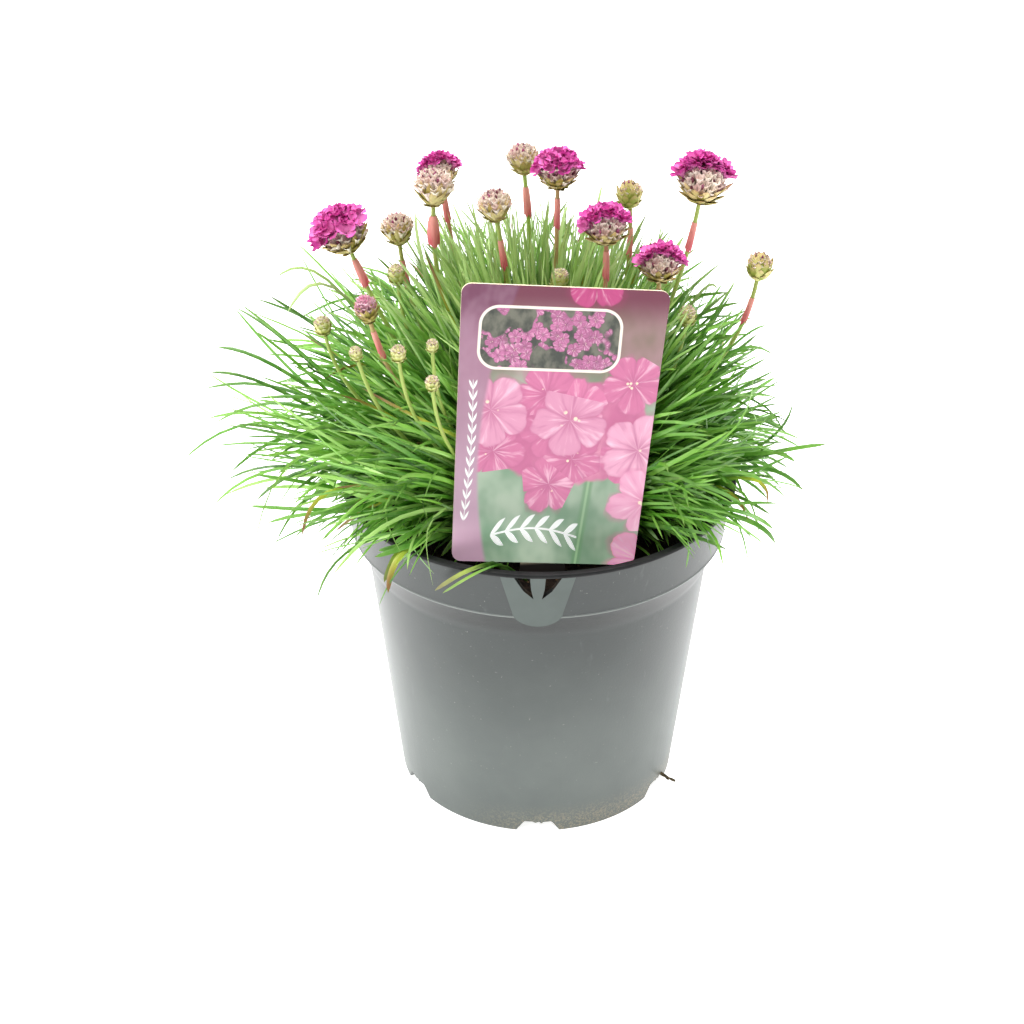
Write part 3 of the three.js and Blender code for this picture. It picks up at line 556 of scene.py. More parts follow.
def pot_plastic():
    s = Shader("moulded_grey_plastic", 0.42, Sheen_Roughness=0.3)
    x, _, z = s.parts(s.place())
    cloud = s.noise(22, 4, 0.6)
    # The plastic is darker near the top and paler towards the foot: partly a film of dust, partly painted
    # light and shade.
    darker_top = s.coats((34, 40, 39), (cloud, 0.3, 0.75, 1, (42, 48, 47)))
    paler_foot = s.coats((86, 93, 90), (cloud, 0.3, 0.75, 1, (97, 104, 100)))
    low_right = s.times(s.ramp(z, 0.013, 0.002), s.ramp(x, -0.030, 0.004))
    colour = s.coats(
        darker_top,
        (z, 0.092, 0.012, 1, paler_foot),
        (SCUFFS, 0.62, 0.8, 0.10, (134, 139, 137)),
        (DUST, 0.68, 0.80, 0.35, (170, 168, 160)),
        (GRIT, 0.44, 0.62, s.times(low_right, 0.55), (166, 154, 124)),
    )
    # Painted shade: a darker band from the shoulder up to just under the crease, with less sheen there too.
    painted_shade_band = s.times(s.ramp(z, (SHOULDER_Z - 2) * MM, (SHOULDER_Z + 4) * MM),
                           s.ramp(z, (COLLAR_LOW_Z - 0.1) * MM, (COLLAR_LOW_Z - 0.7) * MM))
    s.put(s.surface.inputs["Sheen Weight"], s.scaled(painted_shade_band, -0.2, 0.25))
    colour = s.mix(s.times(painted_shade_band, 0.8), colour, (14, 17, 16))
    # Painted highlight: a thin lighter line along the crease.
    crease = s.size(s.minus(z, (COLLAR_LOW_Z + 0.1) * MM))
    s.bump(s.noise(*PLASTIC_GRAIN[0]), *PLASTIC_GRAIN[1:])
    return s.colour(s.coats(colour, (crease, 0.0005, 0.0002, 0.45, (150, 156, 152))))


def lip_plastic():
    # A darker copy of the pot's plastic for the lip: painted shade.
    return coated("dark_lip_plastic", 0.5, 0.2, (20, 21, 21), ((120,), 0.3, 0.7, 1, (30, 31, 31)),
                  grain=PLASTIC_GRAIN)


def pot_inside():
    # Near black with brown soil stains: the stains are the wall's own, the darkness is painted shade inside
    # the pot.
    return coated("soiled_inner_wall", 0.7, 0.2, (24, 24, 24), ((300, 4, 0.7), 0.45, 0.65, 1, (56, 46, 38)),
                  grain=((500, 3, 0.6), 0.2, 0.0006))


def badge_plastic():
    return coated("smooth_grey_plastic", 0.42, 0.5, (61, 71, 67), ((60,), 0.3, 0.7, 1, (68, 78, 74)))


def soil_crumb():
    s = Shader("potting_soil", 0.95, 0.15)
    crumb = s.noise(420, 5, 0.7)
    s.bump(crumb, 0.9, 0.002)
    # A very dark brown: dark soil, darkened further as painted shade.
    return s.colour(s.coats((14, 10, 8), (crumb, 0.35, 0.7, 1, (46, 34, 25)),
                            (s.cells(s.place(), 260), 0.16, 0.08, 0.4, (120, 94, 66))))


def root_skin():
    return coated("dry_root", 0.8, 0.2, (52, 46, 34), ((900, 3, 0.7), 0.35, 0.65, 1, (112, 98, 72)))


def leaf_tissue():
    s = Shader("leaf_green", 0.4)
    height = s.parts(s.place())[2]
    old = s.coats((176, 190, 54), ("along", 0.6, 0.97, 1, (126, 92, 54)))
    return s.colour(s.coats(
        (44, 96, 16),
        ("tone", 0.0, 0.35, 1, (80, 144, 32)),
        ("tone", 0.35, 0.75, 1, (124, 184, 62)),
        ("tone", 0.75, 1.0, 1, (168, 210, 116)),
        # Painted shade: darker towards the leaf's root.
        ("along", 0.55, 0.1, 0.8, (26, 58, 8)),
        # Painted light: paler towards the tip.
        ("along", 0.6, 1.0, 0.2, (160, 196, 116)),
        ((240,), 0.4, 0.72, 0.3, (146, 190, 92)),
        # Painted light: paler on leaves high up in the tussock.
        (height, *PAINTED_LIGHT_HEIGHTS, 0.6, (200, 222, 150)),
        # Painted shade: darker deep inside the tussock.
        ("depth", 0.16, 0.55, 0.6, (20, 48, 8)),
        ("along", 0.35, 0.75, "age", old),
        ("along", 0.95, 1.0, 0.45, (110, 120, 50)),
    ))


def stem_tissue():
    return coated("bare_stem", 0.5, 0.4, (92, 142, 42), ("along", 0.1, 0.8, 1, (146, 174, 80)),
                  ("along", 0.55, 0.85, "blush", (186, 128, 104)),
                  ((90,), 0.5, 0.75, 0.15, (196, 170, 112)))


def sheath_skin():
    return coated("dry_sheath", 0.6, 0.3, (192, 82, 92), ("along", 0.0, 1.0, 1, (214, 138, 128)),
                  (SHEATH_STREAKS, 0.35, 0.7, 0.4, (226, 162, 150)))


def petal_skin():
    return coated("magenta_petal", 0.55, 0.25, (196, 62, 150), ("tone", 0.0, 1.0, 1, (226, 116, 186)),
                  ("along", 0.7, 0.3, 0.5, (232, 164, 206)), ("along", 0.8, 1.0, 0.35, (164, 34, 120)))


def calyx_paper(name="papery_calyx", pale=(252, 242, 228), warm=(244, 220, 214)):
    return coated(name, 0.75, 0.2, pale, ("tone", 0.2, 0.9, 1, warm),
                  ("along", 0.6, 0.1, 0.65, (180, 164, 108)), ("rib", 0.5, 0.95, 0.32, (150, 104, 88)))


def spent_petal(name="closed_dark_petals", deep=(104, 54, 66), pale=(156, 86, 116)):
    return coated(name, 0.7, 0.2, deep, ("tone", 0.2, 0.9, 1, pale))


def bract_skin():
    return coated("bract", 0.65, 0.25, (150, 142, 66), ("tone", 0.1, 0.9, 1, (222, 206, 150)),
                  ("along", 0.55, 1.0, 0.4, (190, 142, 108)))


def bud_skin(name="bud_scale", edge=(216, 176, 138)):
    return coated(name, 0.6, 0.25, (150, 160, 72), ("tone", 0.1, 0.9, 1, (206, 204, 130)),
                  ("along", 0.5, 1.0, 0.55, edge))


def card_edge():
    s = Shader("card_edge", 0.6)
    height, foot = s.parts(s.place())[2], LABEL_FOOT[2]
    # Painted shade: the card turns near black below the label's foot, over the stake.
    return s.colour(s.coats((226, 210, 176), ((700,), 0.3, 0.7, 1, (240, 228, 200)),
                            (height, (foot + 1.4) * MM, (foot - 0.6) * MM, 1, (26, 20, 16))))


def blossoms(s, place, ground, scale, spread, radius, share, seed, deep, pale, where):
    """Lays a five-petalled flower over the ground in a share of a pattern's cells.

    The radius is a part of a cell. The rule where gives 1 for a flower's middle that may carry one."""
    shift = (seed * 1.37, seed * 0.71, 0.0)
    spot = s.vector("ADD", place, shift)
    inputs = {"Vector": spot, "Scale": scale, "Randomness": spread}
    pattern = s.add("ShaderNodeTexVoronoi", inputs, voronoi_dimensions="2D")
    away = s.vector("SUBTRACT", spot, pattern["Position"])
    across, up, _ = s.parts(away)
    x, y, _ = s.parts(pattern["Position"])
    lot, turn, tone = s.parts(pattern["Color"])
    there = where(s.minus(x, shift[0]), s.minus(y, shift[1]))
    there = s.times(s.ramp(lot, share + 0.01, share - 0.01), there)
    angle = s.scaled(turn, 6.28, s.math("ARCTAN2", up, across))
    wave = s.size(s.math("COSINE", s.times(angle, 2.5)))
    lobe = s.scaled(s.math("POWER", wave, 0.5), 0.34, 0.68)
    ruffle = s.scaled(s.noise(scale * 4, 2, at=place), 0.36, 0.82)
    out = s.math("DIVIDE", s.times(pattern["Distance"], 1 / radius), s.times(lobe, ruffle))
    tint = s.mix(tone, pale, s.mix(0.4, pale, deep))
    ray_x, ray_y, _ = s.parts(s.vector("NORMALIZE", away))
    polar = s.add("ShaderNodeCombineXYZ", {0: ray_x, 1: ray_y, 2: s.scaled(lot, 9.0, s.times(out, 0.3))})[0]
    veins = s.noise(3.4, at=polar)
    petal = s.coats(
        s.mix(0.4, deep, tint),
        (out, 0.05, 0.5, 1, tint),
        (veins, 0.50, 0.72, 0.5, (240, 206, 220)),
        (veins, 0.48, 0.28, 0.4, deep),
        (wave, 0.35, 0.0, 0.5, deep),
        (out, 0.86, 1.0, 0.3, deep),
        (s.cells(place, scale * 8), 0.26, 0.16, s.times(s.ramp(out, 0.34, 0.22), 0.75), (240, 226, 190)),
    )
    return s.coats(ground, (out, 1.2, 0.95, s.times(there, 0.35), deep), (out, 1.0, 0.93, there, petal))


def oval(s, x, y, middle, half):
    """1 on an oval's outline, less inside and more outside."""
    return s.diagonal(*(s.scaled(value, 1 / h, -m / h) for value, m, h in zip((x, y), middle, half)))


def white_sprig(s, forward, across, start, length, middle, pairs, size):
    """1 on a small bowed twig with pairs of leaves."""
    along = s.scaled(forward, 1 / length, -start / length)
    rise = s.times(s.math("SINE", s.times(along, math.pi)), size * 0.6)
    height = s.size(s.minus(across, s.plus(rise, middle)))
    step = s.math("FRACT", s.times(along, pairs))
    half = s.times(s.math("SINE", s.times(step, math.pi)), size * 0.27)
    leaf = s.minus(s.size(s.scaled(step, -size, height)), half)
    shape = s.ramp(s.math("MINIMUM", leaf, s.minus(height, size * 0.07)), 0.002, -0.002)
    return s.times(shape, s.times(s.ramp(along, 0.0, 0.02), s.ramp(along, 1.0, 0.98)))


def printed_card():
    """The label's printed side, in the piece's own UV map, where width and height run from 0 to 1."""
    s = Shader("printed_card", 0.34, 0.4)
    uv = s.add("ShaderNodeUVMap", uv_map="print")[0]
    u, v, _ = s.parts(uv)
    place = s.vector("MULTIPLY", uv, (1.0, LABEL_HEIGHT / LABEL_WIDTH, 1.0))
    y = s.parts(place)[1]
    fog = s.noise(3.4, at=uv)
    stalk = s.size(s.plus(s.scaled(v, -0.10, u), -0.66))
    colour = s.coats(
        (108, 138, 112),
        (fog, 0.36, 0.64, 1, (156, 172, 152)),
        (stalk, 0.030, 0.012, 0.8, (104, 140, 104)),
        (stalk, 0.010, 0.002, 0.5, (160, 190, 150)),
        (v, 0.60, 0.76, 1, s.coats((122, 104, 92), (fog, 0.36, 0.64, 1, (152, 120, 124)))),
        (v, 0.84, 0.98, 1, (104, 46, 66)),
    )

    def within(middle, half, low, high):
        return lambda a, b: s.ramp(oval(s, a, b, middle, half), low, high)

    cluster = (CLUSTER_MIDDLE, CLUSTER_HALF)
    colour = blossoms(s, place, colour, 3.0, 0.5, 0.50, 1.1, 13, (140, 44, 86), (190, 72, 130),
                      within((0.62, 1.44), (0.26, 0.16), 1.02, 0.98))
    away = s.plus(oval(s, u, y, *cluster), s.scaled(s.noise(6, 2, at=uv), 0.5, -0.25))
    patch = s.coats((180, 96, 134), (fog, 0.4, 0.6, 1, (204, 134, 160)))
    colour = s.coats(colour, (away, 0.86, 0.78, 1, patch))
    rose, light, deep = (198, 112, 150), (214, 154, 180), (168, 88, 126)
    for flowers in (
        (3.9, 0.7, 0.62, 1.1, 5, deep, rose, within(*cluster, 1.04, 1.02)),
        (2.7, 0.6, 0.52, 0.9, 8, deep, light, within(*cluster, 0.92, 0.90)),
        (2.7, 0.4, 0.49, 1.1, 11, rose, (228, 172, 198), within((0.98, 0.06), (0.30, 0.34), 1.02, 0.98)),
    ):
        colour = blossoms(s, place, colour, *flowers)
    beyond = [
        s.math("MAXIMUM", s.minus(s.size(s.minus(value, middle)), half - STRIP_CORNER), 0.0)
        for value, middle, half in zip((u, y), STRIP_MIDDLE, STRIP_HALF)
    ]
    edge = s.minus(s.diagonal(*beyond), STRIP_CORNER)
    night = s.coats((56, 60, 54), (s.noise(14, at=uv), 0.35, 0.65, 1, (104, 104, 92)))
    night = blossoms(s, place, night, 17.0, 0.9, 0.62, 1.1, 3, (112, 56, 92), (184, 108, 150),
                     lambda a, b: s.ramp(s.noise(5.5, 2, at=uv), 0.49, 0.52))
    band = s.coats((170, 138, 157), (v, 0.2, 0.75, 1, (152, 112, 133)), (v, 0.78, 0.97, 1, (104, 54, 80)),
                   (s.noise(9, 2, at=uv), 0.4, 0.7, 0.2, (180, 148, 166)))
    bow = s.minus(v, 0.42)
    border = s.scaled(s.times(bow, bow), 0.42, 0.135)
    colour = s.coats(
        colour,
        (s.minus(u, border), 0.012, -0.012, 1, band),
        (edge, 0.003, -0.003, 1, night),
        (s.size(edge), 0.0085, 0.0055, 1, (232, 220, 208)),
    )
    mark = s.math("MAXIMUM", white_sprig(s, u, v, 0.22, 0.44, 0.10, 6.0, 0.052),
                  white_sprig(s, v, u, 0.15, 0.52, 0.085, 13.0, 0.021))
    colour = s.mix(mark, colour, (226, 228, 226))
    # Painted light: the print grows brighter towards the label's foot.
    return s.colour(s.coats(colour, (v, 0.21, -0.04, 1, s.vector("MULTIPLY", colour, FOOT_PAINTED_LIGHT))))


# Pot
def pot_profile():
    lip = RIM_RADIUS - LIP_REACH
    shoulder = [
        (SHOULDER_RADIUS - 0.15, SHOULDER_Z - 1.6),
        (SHOULDER_RADIUS + 0.45, SHOULDER_Z + 0.3),
        (COLLAR_LOW_RADIUS - 0.55, COLLAR_LOW_Z - 1.2),
        (COLLAR_LOW_RADIUS + 0.15, COLLAR_LOW_Z - 0.35),
        (COLLAR_LOW_RADIUS + 0.32, COLLAR_LOW_Z + 0.1),
        (COLLAR_LOW_RADIUS + 0.15, COLLAR_LOW_Z + 0.5),
    ]
    rim = [
        (lip, POT_HEIGHT - LIP_HEIGHT - 0.3),
        (lip + 0.1, POT_HEIGHT - LIP_HEIGHT),
        (RIM_RADIUS - 0.25, POT_HEIGHT - LIP_HEIGHT + 0.1),
        (RIM_RADIUS, POT_HEIGHT - LIP_HEIGHT + 0.5),
        (RIM_RADIUS, POT_HEIGHT - 0.7),
        (RIM_RADIUS - 0.25, POT_HEIGHT - 0.2),
        (RIM_RADIUS - 0.8, POT_HEIGHT),
    ]
    inner = [(inside_radius(z), z) for z in (POT_HEIGHT, COLLAR_LOW_Z + 0.3, SHOULDER_Z)]
    inner[0] = (inner[0][0] + 0.2, POT_HEIGHT)
    inner.insert(1, (inside_radius(POT_HEIGHT), POT_HEIGHT - 0.4))
    floor = FLOOR_Z + FLOOR_THICKNESS
    bottom = [(inside_radius(floor), floor), (PAD_RADIUS + 1, floor), (PAD_RADIUS - 1, FLOOR_THICKNESS)]
    ring = FOOT_RADIUS - FOOT_RING_WIDTH
    under = [(PAD_RADIUS, 0), (PAD_RADIUS + 2, FLOOR_Z), (ring - 0.4, FLOOR_Z), (ring, 0)]
    outer = [(FOOT_RADIUS - 0.3, 0), (FOOT_RADIUS, 0.3)]
    return [(0, 0), *under, *outer, *shoulder, *rim, *inner, *bottom, (0, FLOOR_THICKNESS)]


def on_collar(block, out):
    """Stands a block drawn from Y 0 backwards on the sloping front of the collar."""
    slope = math.atan((RIM_RADIUS - COLLAR_LOW_RADIUS) / (POT_HEIGHT - COLLAR_LOW_Z))
    place = Matrix.Translation((BADGE_SIDE, -(RIM_RADIUS - LIP_REACH), POT_HEIGHT - LIP_HEIGHT))
    block.data.transform(place @ Matrix.Rotation(slope, 4, "X") @ Matrix.Translation((0, -out, 0)))
    return block


def badge_outline():
    top, low = BADGE_TOP_WIDTH / 2, BADGE_LOW_WIDTH / 2
    points = [(-top, 0.4)]
    for i in range(17):
        angle = math.pi * (1 + i / 16)
        drop = BADGE_DROP - BADGE_SHOULDER_DROP
        points.append((low * math.cos(angle), -BADGE_SHOULDER_DROP + drop * math.sin(angle)))
    points.append((top, 0.4))
    return points


def slot_outline(side):
    inner, low = side * SLOT_INNER_GAP / 2, side * SLOT_LOW_GAP / 2
    outer = inner + side * SLOT_WIDTH
    inner_bow, outer_bow = (inner + low) / 2 + side * 0.2, (outer + low) / 2 + side * 0.1
    points = [(outer, 0.0), (inner, 0.0), (inner_bow, -SLOT_DROP * 0.55), (low, -SLOT_DROP),
              (outer_bow, -SLOT_DROP * 0.62)]
    return points if side < 0 else points[::-1]


def wall_copy(name, out):
    """A solid whose side runs a little outside or inside the upper part of the pot's wall."""
    top, low = POT_HEIGHT - LIP_HEIGHT + 0.2, SHOULDER_Z + 1
    lip = RIM_RADIUS - LIP_REACH
    share = (low - SHOULDER_Z) / (COLLAR_LOW_Z - SHOULDER_Z)
    first = SHOULDER_RADIUS + (COLLAR_LOW_RADIUS - SHOULDER_RADIUS) * share
    sides = [(r + out, z) for r, z in pot_profile() if low < z < top - 0.4 and r > first]
    sides.insert(0, (first + out, low))
    if out > 0:
        slope = (lip - COLLAR_LOW_RADIUS) / (top - COLLAR_LOW_Z)
        sides = [(lip + out - slope * (top - low), low)]
    made = revolved(name, [(0, low), *sides, (lip + out, top), (0, top)], POT_COLUMNS)
    made.data.materials.append(badge_plastic() if out > 0 else pot_inside())
    return made


def make_badge():
    """The raised pad under the lip, which runs straight down past the crease."""
    badge = wall_copy("badge", BADGE_PROUD)
    outline = on_collar(extruded("outline", badge_outline(), 24), 12)
    badge = cut(badge, outline, "INTERSECT")
    return cut(badge, wall_copy("core", -0.8), "DIFFERENCE")


def make_pot():
    pot = revolved("pot_shell", pot_profile(), POT_COLUMNS)
    pot.data.materials.append(pot_plastic())
    pot = cut(pot, make_badge(), "UNION")
    for side in (-1, 1):
        slot = on_collar(extruded("slot", slot_outline(side), 8), 2.5)
        # The slot's walls take the dark inner material: painted shade in the recess.
        slot.data.materials.append(pot_inside())
        pot = cut(pot, slot, "DIFFERENCE")
    low, top = NOTCH_LOW_WIDTH / 2, NOTCH_TOP_WIDTH / 2
    below = low + (low - top) / NOTCH_HEIGHT
    ragged = [(top, 0.6), (top - 0.6, 0), (1.9, 0.2), (1.2, 0.9), (0.4, 0.1), (-0.9, 0.6), (-1.8, 0),
              (0.6 - top, 0), (-top, 0.6)]
    outline = [(-below, -1), (below, -1)] + [(x, NOTCH_HEIGHT - drop) for x, drop in ragged]
    for angle in even_angles(NOTCH_COUNT):
        notch = extruded("notch", outline, 10)
        turn = Matrix.Rotation(angle, 4, "Z")
        notch.data.transform(turn @ Matrix.Translation((0, -FOOT_RADIUS - 4, 0)))
        pot = cut(pot, notch, "DIFFERENCE")
    pot.data.materials.append(pot_inside())
    pot.data.materials.append(lip_plastic())
    inside, lip = len(pot.data.materials) - 2, len(pot.data.materials) - 1
    # Faces inside the wall take the near-black inner material: painted shade, with soil stains.
    for face in pot.data.polygons:
        x, y, z = face.center
        if FLOOR_Z + 1 < z < POT_HEIGHT - 0.3 and math.hypot(x, y) < inside_radius(z) + 0.4:
            face.material_index = inside
        # The lip's faces take the darker copy of the plastic, painted shade.
        elif z > POT_HEIGHT - LIP_HEIGHT - 0.25:
            face.material_index = lip
    smooth(pot, 28)
    return settled(pot, ["pot"])


# Soil
def make_soil():
    floor = FLOOR_Z + FLOOR_THICKNESS + GAP
    draws = Draws(SOIL_SEED)
    profile = [(0, floor)] + [(inside_radius(z) - GAP, z) for z in (floor, SHOULDER_Z, COLLAR_LOW_Z)]
    edge = inside_radius(SOIL_EDGE_Z) - GAP
    for i in range(SOIL_RINGS):
        share = i / SOIL_RINGS
        profile.append((edge * (1 - share), SOIL_EDGE_Z + SOIL_RISE * math.sin(share * math.pi / 2)))
    profile.append((0, SOIL_INNER_Z + 1))
    soil = revolved("soil_bed", profile, SOIL_COLUMNS)
    for vertex in soil.data.vertices:
        radius = math.hypot(vertex.co.x, vertex.co.y)
        if vertex.co.z > SOIL_EDGE_Z - 0.5 and radius < edge - 0.5:
            vertex.co.z += draws.about(SOIL_CRUMBS)
    soil.data.materials.append(soil_crumb())
    smooth(soil, 60)
    lines = [quadratic(*np.array(thread, float), 12) for thread in ROOT_THREADS]
    threads = polylines("root threads", lines, width=[np.array(ROOT_WIDTHS)] * len(lines))
    threads = stem_tree().apply(threads, Material=root_skin())
    soil = joined_shapes([soil, threads], "soil_bed")
    return settled(soil, ["soil"])


# Label
def label_matrix():
    turn, lean, roll = (math.radians(a) for a in LABEL_TURN)
    place = Matrix.Translation(LABEL_FOOT) @ Matrix.Rotation(turn, 4, "Z")
    return place @ Matrix.Rotation(lean, 4, "X") @ Matrix.Rotation(roll, 4, "Y")


def plate_outline():
    top, low, r = LABEL_WIDTH / 2, LABEL_WIDTH / 2 - LABEL_TAPER, LABEL_CORNER
    corners = [((-low + r, r), 180), ((low - r, r), 270), ((top - r, LABEL_HEIGHT - r), 0),
               ((-top + r, LABEL_HEIGHT - r), 90)]
    points = []
    for (x, z), start in corners:
        for i in range(7):
            angle = math.radians(start + 15 * i)
            points.append((x + r * math.cos(angle), z + r * math.sin(angle)))
    return points


def make_label():
    plate = extruded("label_card", plate_outline(), LABEL_THICKNESS)
    half, shoulder = STAKE_WIDTH / 2, STAKE_POINT - STAKE_LENGTH
    outline = [(-half, 3), (-half, shoulder), (0, -STAKE_LENGTH), (half, shoulder), (half, 3)]
    stake = extruded("stake", outline, LABEL_THICKNESS - 0.2)
    stake.data.transform(Matrix.Translation((0, 0.1, 0)))
    label = cut(plate, stake, "UNION")
    label.data.materials.clear()
    label.data.materials.append(card_edge())
    label.data.materials.append(printed_card())
    uv = label.data.uv_layers.new(name="print")
    for face in label.data.polygons:
        front = face.normal.y < -0.7 and face.center.z > 0
        face.material_index = 1 if front else 0
        for corner in face.loop_indices:
            place = label.data.vertices[label.data.loops[corner].vertex_index].co
            uv.data[corner].uv = (place.x / LABEL_WIDTH + 0.5, place.z / LABEL_HEIGHT)
    label.data.transform(label_matrix() @ Matrix.Translation((0, -LABEL_THICKNESS / 2, 0)))
    smooth(label, 30)
    return settled(label, ["label"])


# Geometry Nodes
class Tree(Nodes):
    """A Geometry Nodes group whose first input and only output are geometry."""

    def __init__(self, name):
        super().__init__(bpy.data.node_groups.new(name, "GeometryNodeTree"))
        for way in ("INPUT", "OUTPUT"):
            self.tree.interface.new_socket("Geometry", in_out=way, socket_type="NodeSocketGeometry")
        self.given = self.add("NodeGroupInput")
        self.sockets = {}

    def named_input(self, name, kind, default=None):
        socket = self.tree.interface.new_socket(name, in_out="INPUT", socket_type="NodeSocket" + kind)
        if default is not None:
            socket.default_value = default
        self.sockets[name] = socket.identifier
        return self.given[name]

    def named(self, name, kind="FLOAT"):
        outputs = self.add("GeometryNodeInputNamedAttribute", {"Name": name}, data_type=kind)
        return next(s for s in outputs if s.name == "Attribute" and s.enabled)

    def real(self, geometry, material):
        """The geometry as plain meshes of a material."""
        real = self.add("GeometryNodeRealizeInstances", {"Geometry": geometry})[0]
        return self.add("GeometryNodeSetMaterial", {"Geometry": real, "Material": material})[0]

    def swept(self, curve, section, material):
        """Ends the group with a section drawn along the curve and sized by the attribute width."""
        inputs = {"Curve": curve, "Profile Curve": section, "Scale": self.named("width"), "Fill Caps": True}
        return self.finish(self.real(self.add("GeometryNodeCurveToMesh", inputs)[0], material))

    def finish(self, geometry):
        self.add("NodeGroupOutput", {0: geometry})
        return self

    def apply(self, target, **values):
        modifier = target.modifiers.new(self.tree.name, "NODES")
        modifier.node_group = self.tree
        for name, value in values.items():
            modifier[self.sockets[name.replace("_", " ")]] = value
        return plain(target)


def blade_tree():
    """Turns polylines into thin keeled blades, turned by the attribute twist."""
    tree = Tree("leaf blades")
    crease = tree.named_input("Crease", "Float", 0.10)
    keel = tree.named_input("Keel", "Float", 0.13)
    material = tree.named_input("Material", "Material")
    curve = tree.add("GeometryNodeMeshToCurve", {"Mesh": tree.given[0]})[0]
    curve = tree.add("GeometryNodeSetCurveNormal", {"Curve": curve}, mode="Z_UP")[0]
    curve = tree.add("GeometryNodeSetCurveTilt", {"Curve": curve, "Tilt": tree.named("twist")})[0]
    left, right = (tree.add("ShaderNodeCombineXYZ", {"X": crease, "Y": y})[0] for y in (-0.5, 0.5))
    bottom = tree.add("ShaderNodeCombineXYZ", {"X": tree.times(keel, -1.0)})[0]
    corners = {"Point 1": left, "Point 2": (0.0, 0.0, 0.0), "Point 3": right, "Point 4": bottom}
    section = tree.add("GeometryNodeCurvePrimitiveQuadrilateral", corners, mode="POINTS")[0]
    return tree.swept(curve, section, material)


def stem_tree():
    """Turns polylines into round stems."""
    tree = Tree("stems")
    sides = tree.named_input("Sides", "Int", 10)
    material = tree.named_input("Material", "Material")
    curve = tree.add("GeometryNodeMeshToCurve", {"Mesh": tree.given[0]})[0]
    ring = tree.add("GeometryNodeCurvePrimitiveCircle", {"Resolution": sides, "Radius": 1.0})[0]
    return tree.swept(curve, ring, material)


def head_tree():
    """Sets a shape with its material on each point of its own kind, turned and sized by attributes."""
    tree = Tree("flower head")
    turn = tree.add("FunctionNodeEulerToRotation", {"Euler": tree.named("turn", "FLOAT_VECTOR")})[0]
    joined = tree.tree.nodes.new("GeometryNodeJoinGeometry")
    for kind in range(3):
        shape = tree.named_input(f"Shape {kind}", "Object")
        material = tree.named_input(f"Material {kind}", "Material")
        inputs = {"A": tree.named("kind"), "B": float(kind), "Epsilon": 0.1}
        chosen = tree.add("FunctionNodeCompare", inputs, data_type="FLOAT", operation="EQUAL")[0]
        body = tree.add("GeometryNodeObjectInfo", {"Object": shape})["Geometry"]
        inputs = {"Points": tree.given[0], "Selection": chosen, "Instance": body, "Rotation": turn,
                  "Scale": tree.named("stretch", "FLOAT_VECTOR")}
        tree.put(joined.inputs[0], tree.real(tree.add("GeometryNodeInstanceOnPoints", inputs)[0], material))
    return tree.finish(joined.outputs[0])


# Stems and sheaths
def polylines(name, lines, **fields):
    """A mesh of open polylines with one value per point for each field."""
    edges, start = [], 0
    for line in lines:
        edges += [(start + i, start + i + 1) for i in range(len(line) - 1)]
        start += len(line)
    values = {key: np.concatenate(column) for key, column in fields.items()}
    return new_object(name, np.concatenate(lines), (), edges, **values)


def along_line(line, steps, where):
    """The place on a polyline at some of its steps' values."""
    return np.stack([np.interp(where, steps, line[:, k]) for k in range(3)], axis=-1)


def make_stem(name, at, tilt, size, tree, material, blush, thin=1.0):
    """A bare stem, a little thinner towards its head."""
    share = np.linspace(0, 1, STEM_STEPS)
    line = cubic(stem_points(at, tilt, size), share)
    radius = STEM_RADIUS * thin * (1.05 - 0.12 * share)
    stem = polylines(name, [line], width=[radius], along=[share], blush=[np.full(STEM_STEPS, blush)])
    stem = tree.apply(stem, Material=material)
    smooth(stem, 50)
    return stem


def make_sheath(name, at, tilt, size, material, seed, start, flare):
    """A dry tube round the stem below the head, with a ragged lower end."""
    draws = Draws(seed)
    fine = cubic(stem_points(at, tilt, size), np.linspace(0, 1, 240))
    steps = np.r_[0, np.cumsum(np.linalg.norm(np.diff(fine, axis=0), axis=1))]
    ragged = [draws.between(-0.9, 1.1) for _ in range(SHEATH_COLUMNS)]
    vertices, along = [], []
    for share, radius in SHEATH_ROWS:
        wide = radius * (1 + flare * math.sin(math.pi * (1 - share) ** 0.7 * 0.75))
        for angle, rag in zip(even_angles(SHEATH_COLUMNS), ragged):
            distance = steps[-1] - start - SHEATH_LENGTH * (1 - share) + rag * (1 - share) ** 3
            middle = along_line(fine, steps, distance)
            ahead = along_line(fine, steps, distance + 0.5) - middle
            x = unit(np.cross(BACK, ahead))
            y = unit(np.cross(ahead, x))
            reach = wide * (1 + 0.06 * math.sin(3 * angle))
            vertices.append(middle + x * math.cos(angle) * reach + y * math.sin(angle) * reach)
            along.append(share)
    faces = tube_faces(len(SHEATH_ROWS), SHEATH_COLUMNS, closed=True)
    sheath = outward(new_object(name, vertices, faces, along=along))
    sheath.data.materials.append(material)
    smooth(sheath, 50)
    return sheath


# Shapes that repeat in a head, drawn around their own seat with Z pointing out
def grid_shape(name, rows):
    """A strip from rows of points, each with its share of the strip's length."""
    width = len(rows[0][1])
    faces = []
    for row in range(len(rows) - 1):
        faces += [(a, a + 1, a + 1 + width, a + width) for a in range(row * width, (row + 1) * width - 1)]
    vertices = [point for _, points in rows for point in points]
    return new_object(name, vertices, faces, along=[share for share, points in rows for _ in points])


def joined_shapes(shapes, name):
    bpy.ops.object.select_all(action="DESELECT")
    for shape in shapes:
        shape.select_set(True)
    bpy.context.view_layer.objects.active = shapes[0]
    bpy.ops.object.join()
    shapes[0].name = name
    shapes[0].data.shade_smooth()
    return shapes[0]


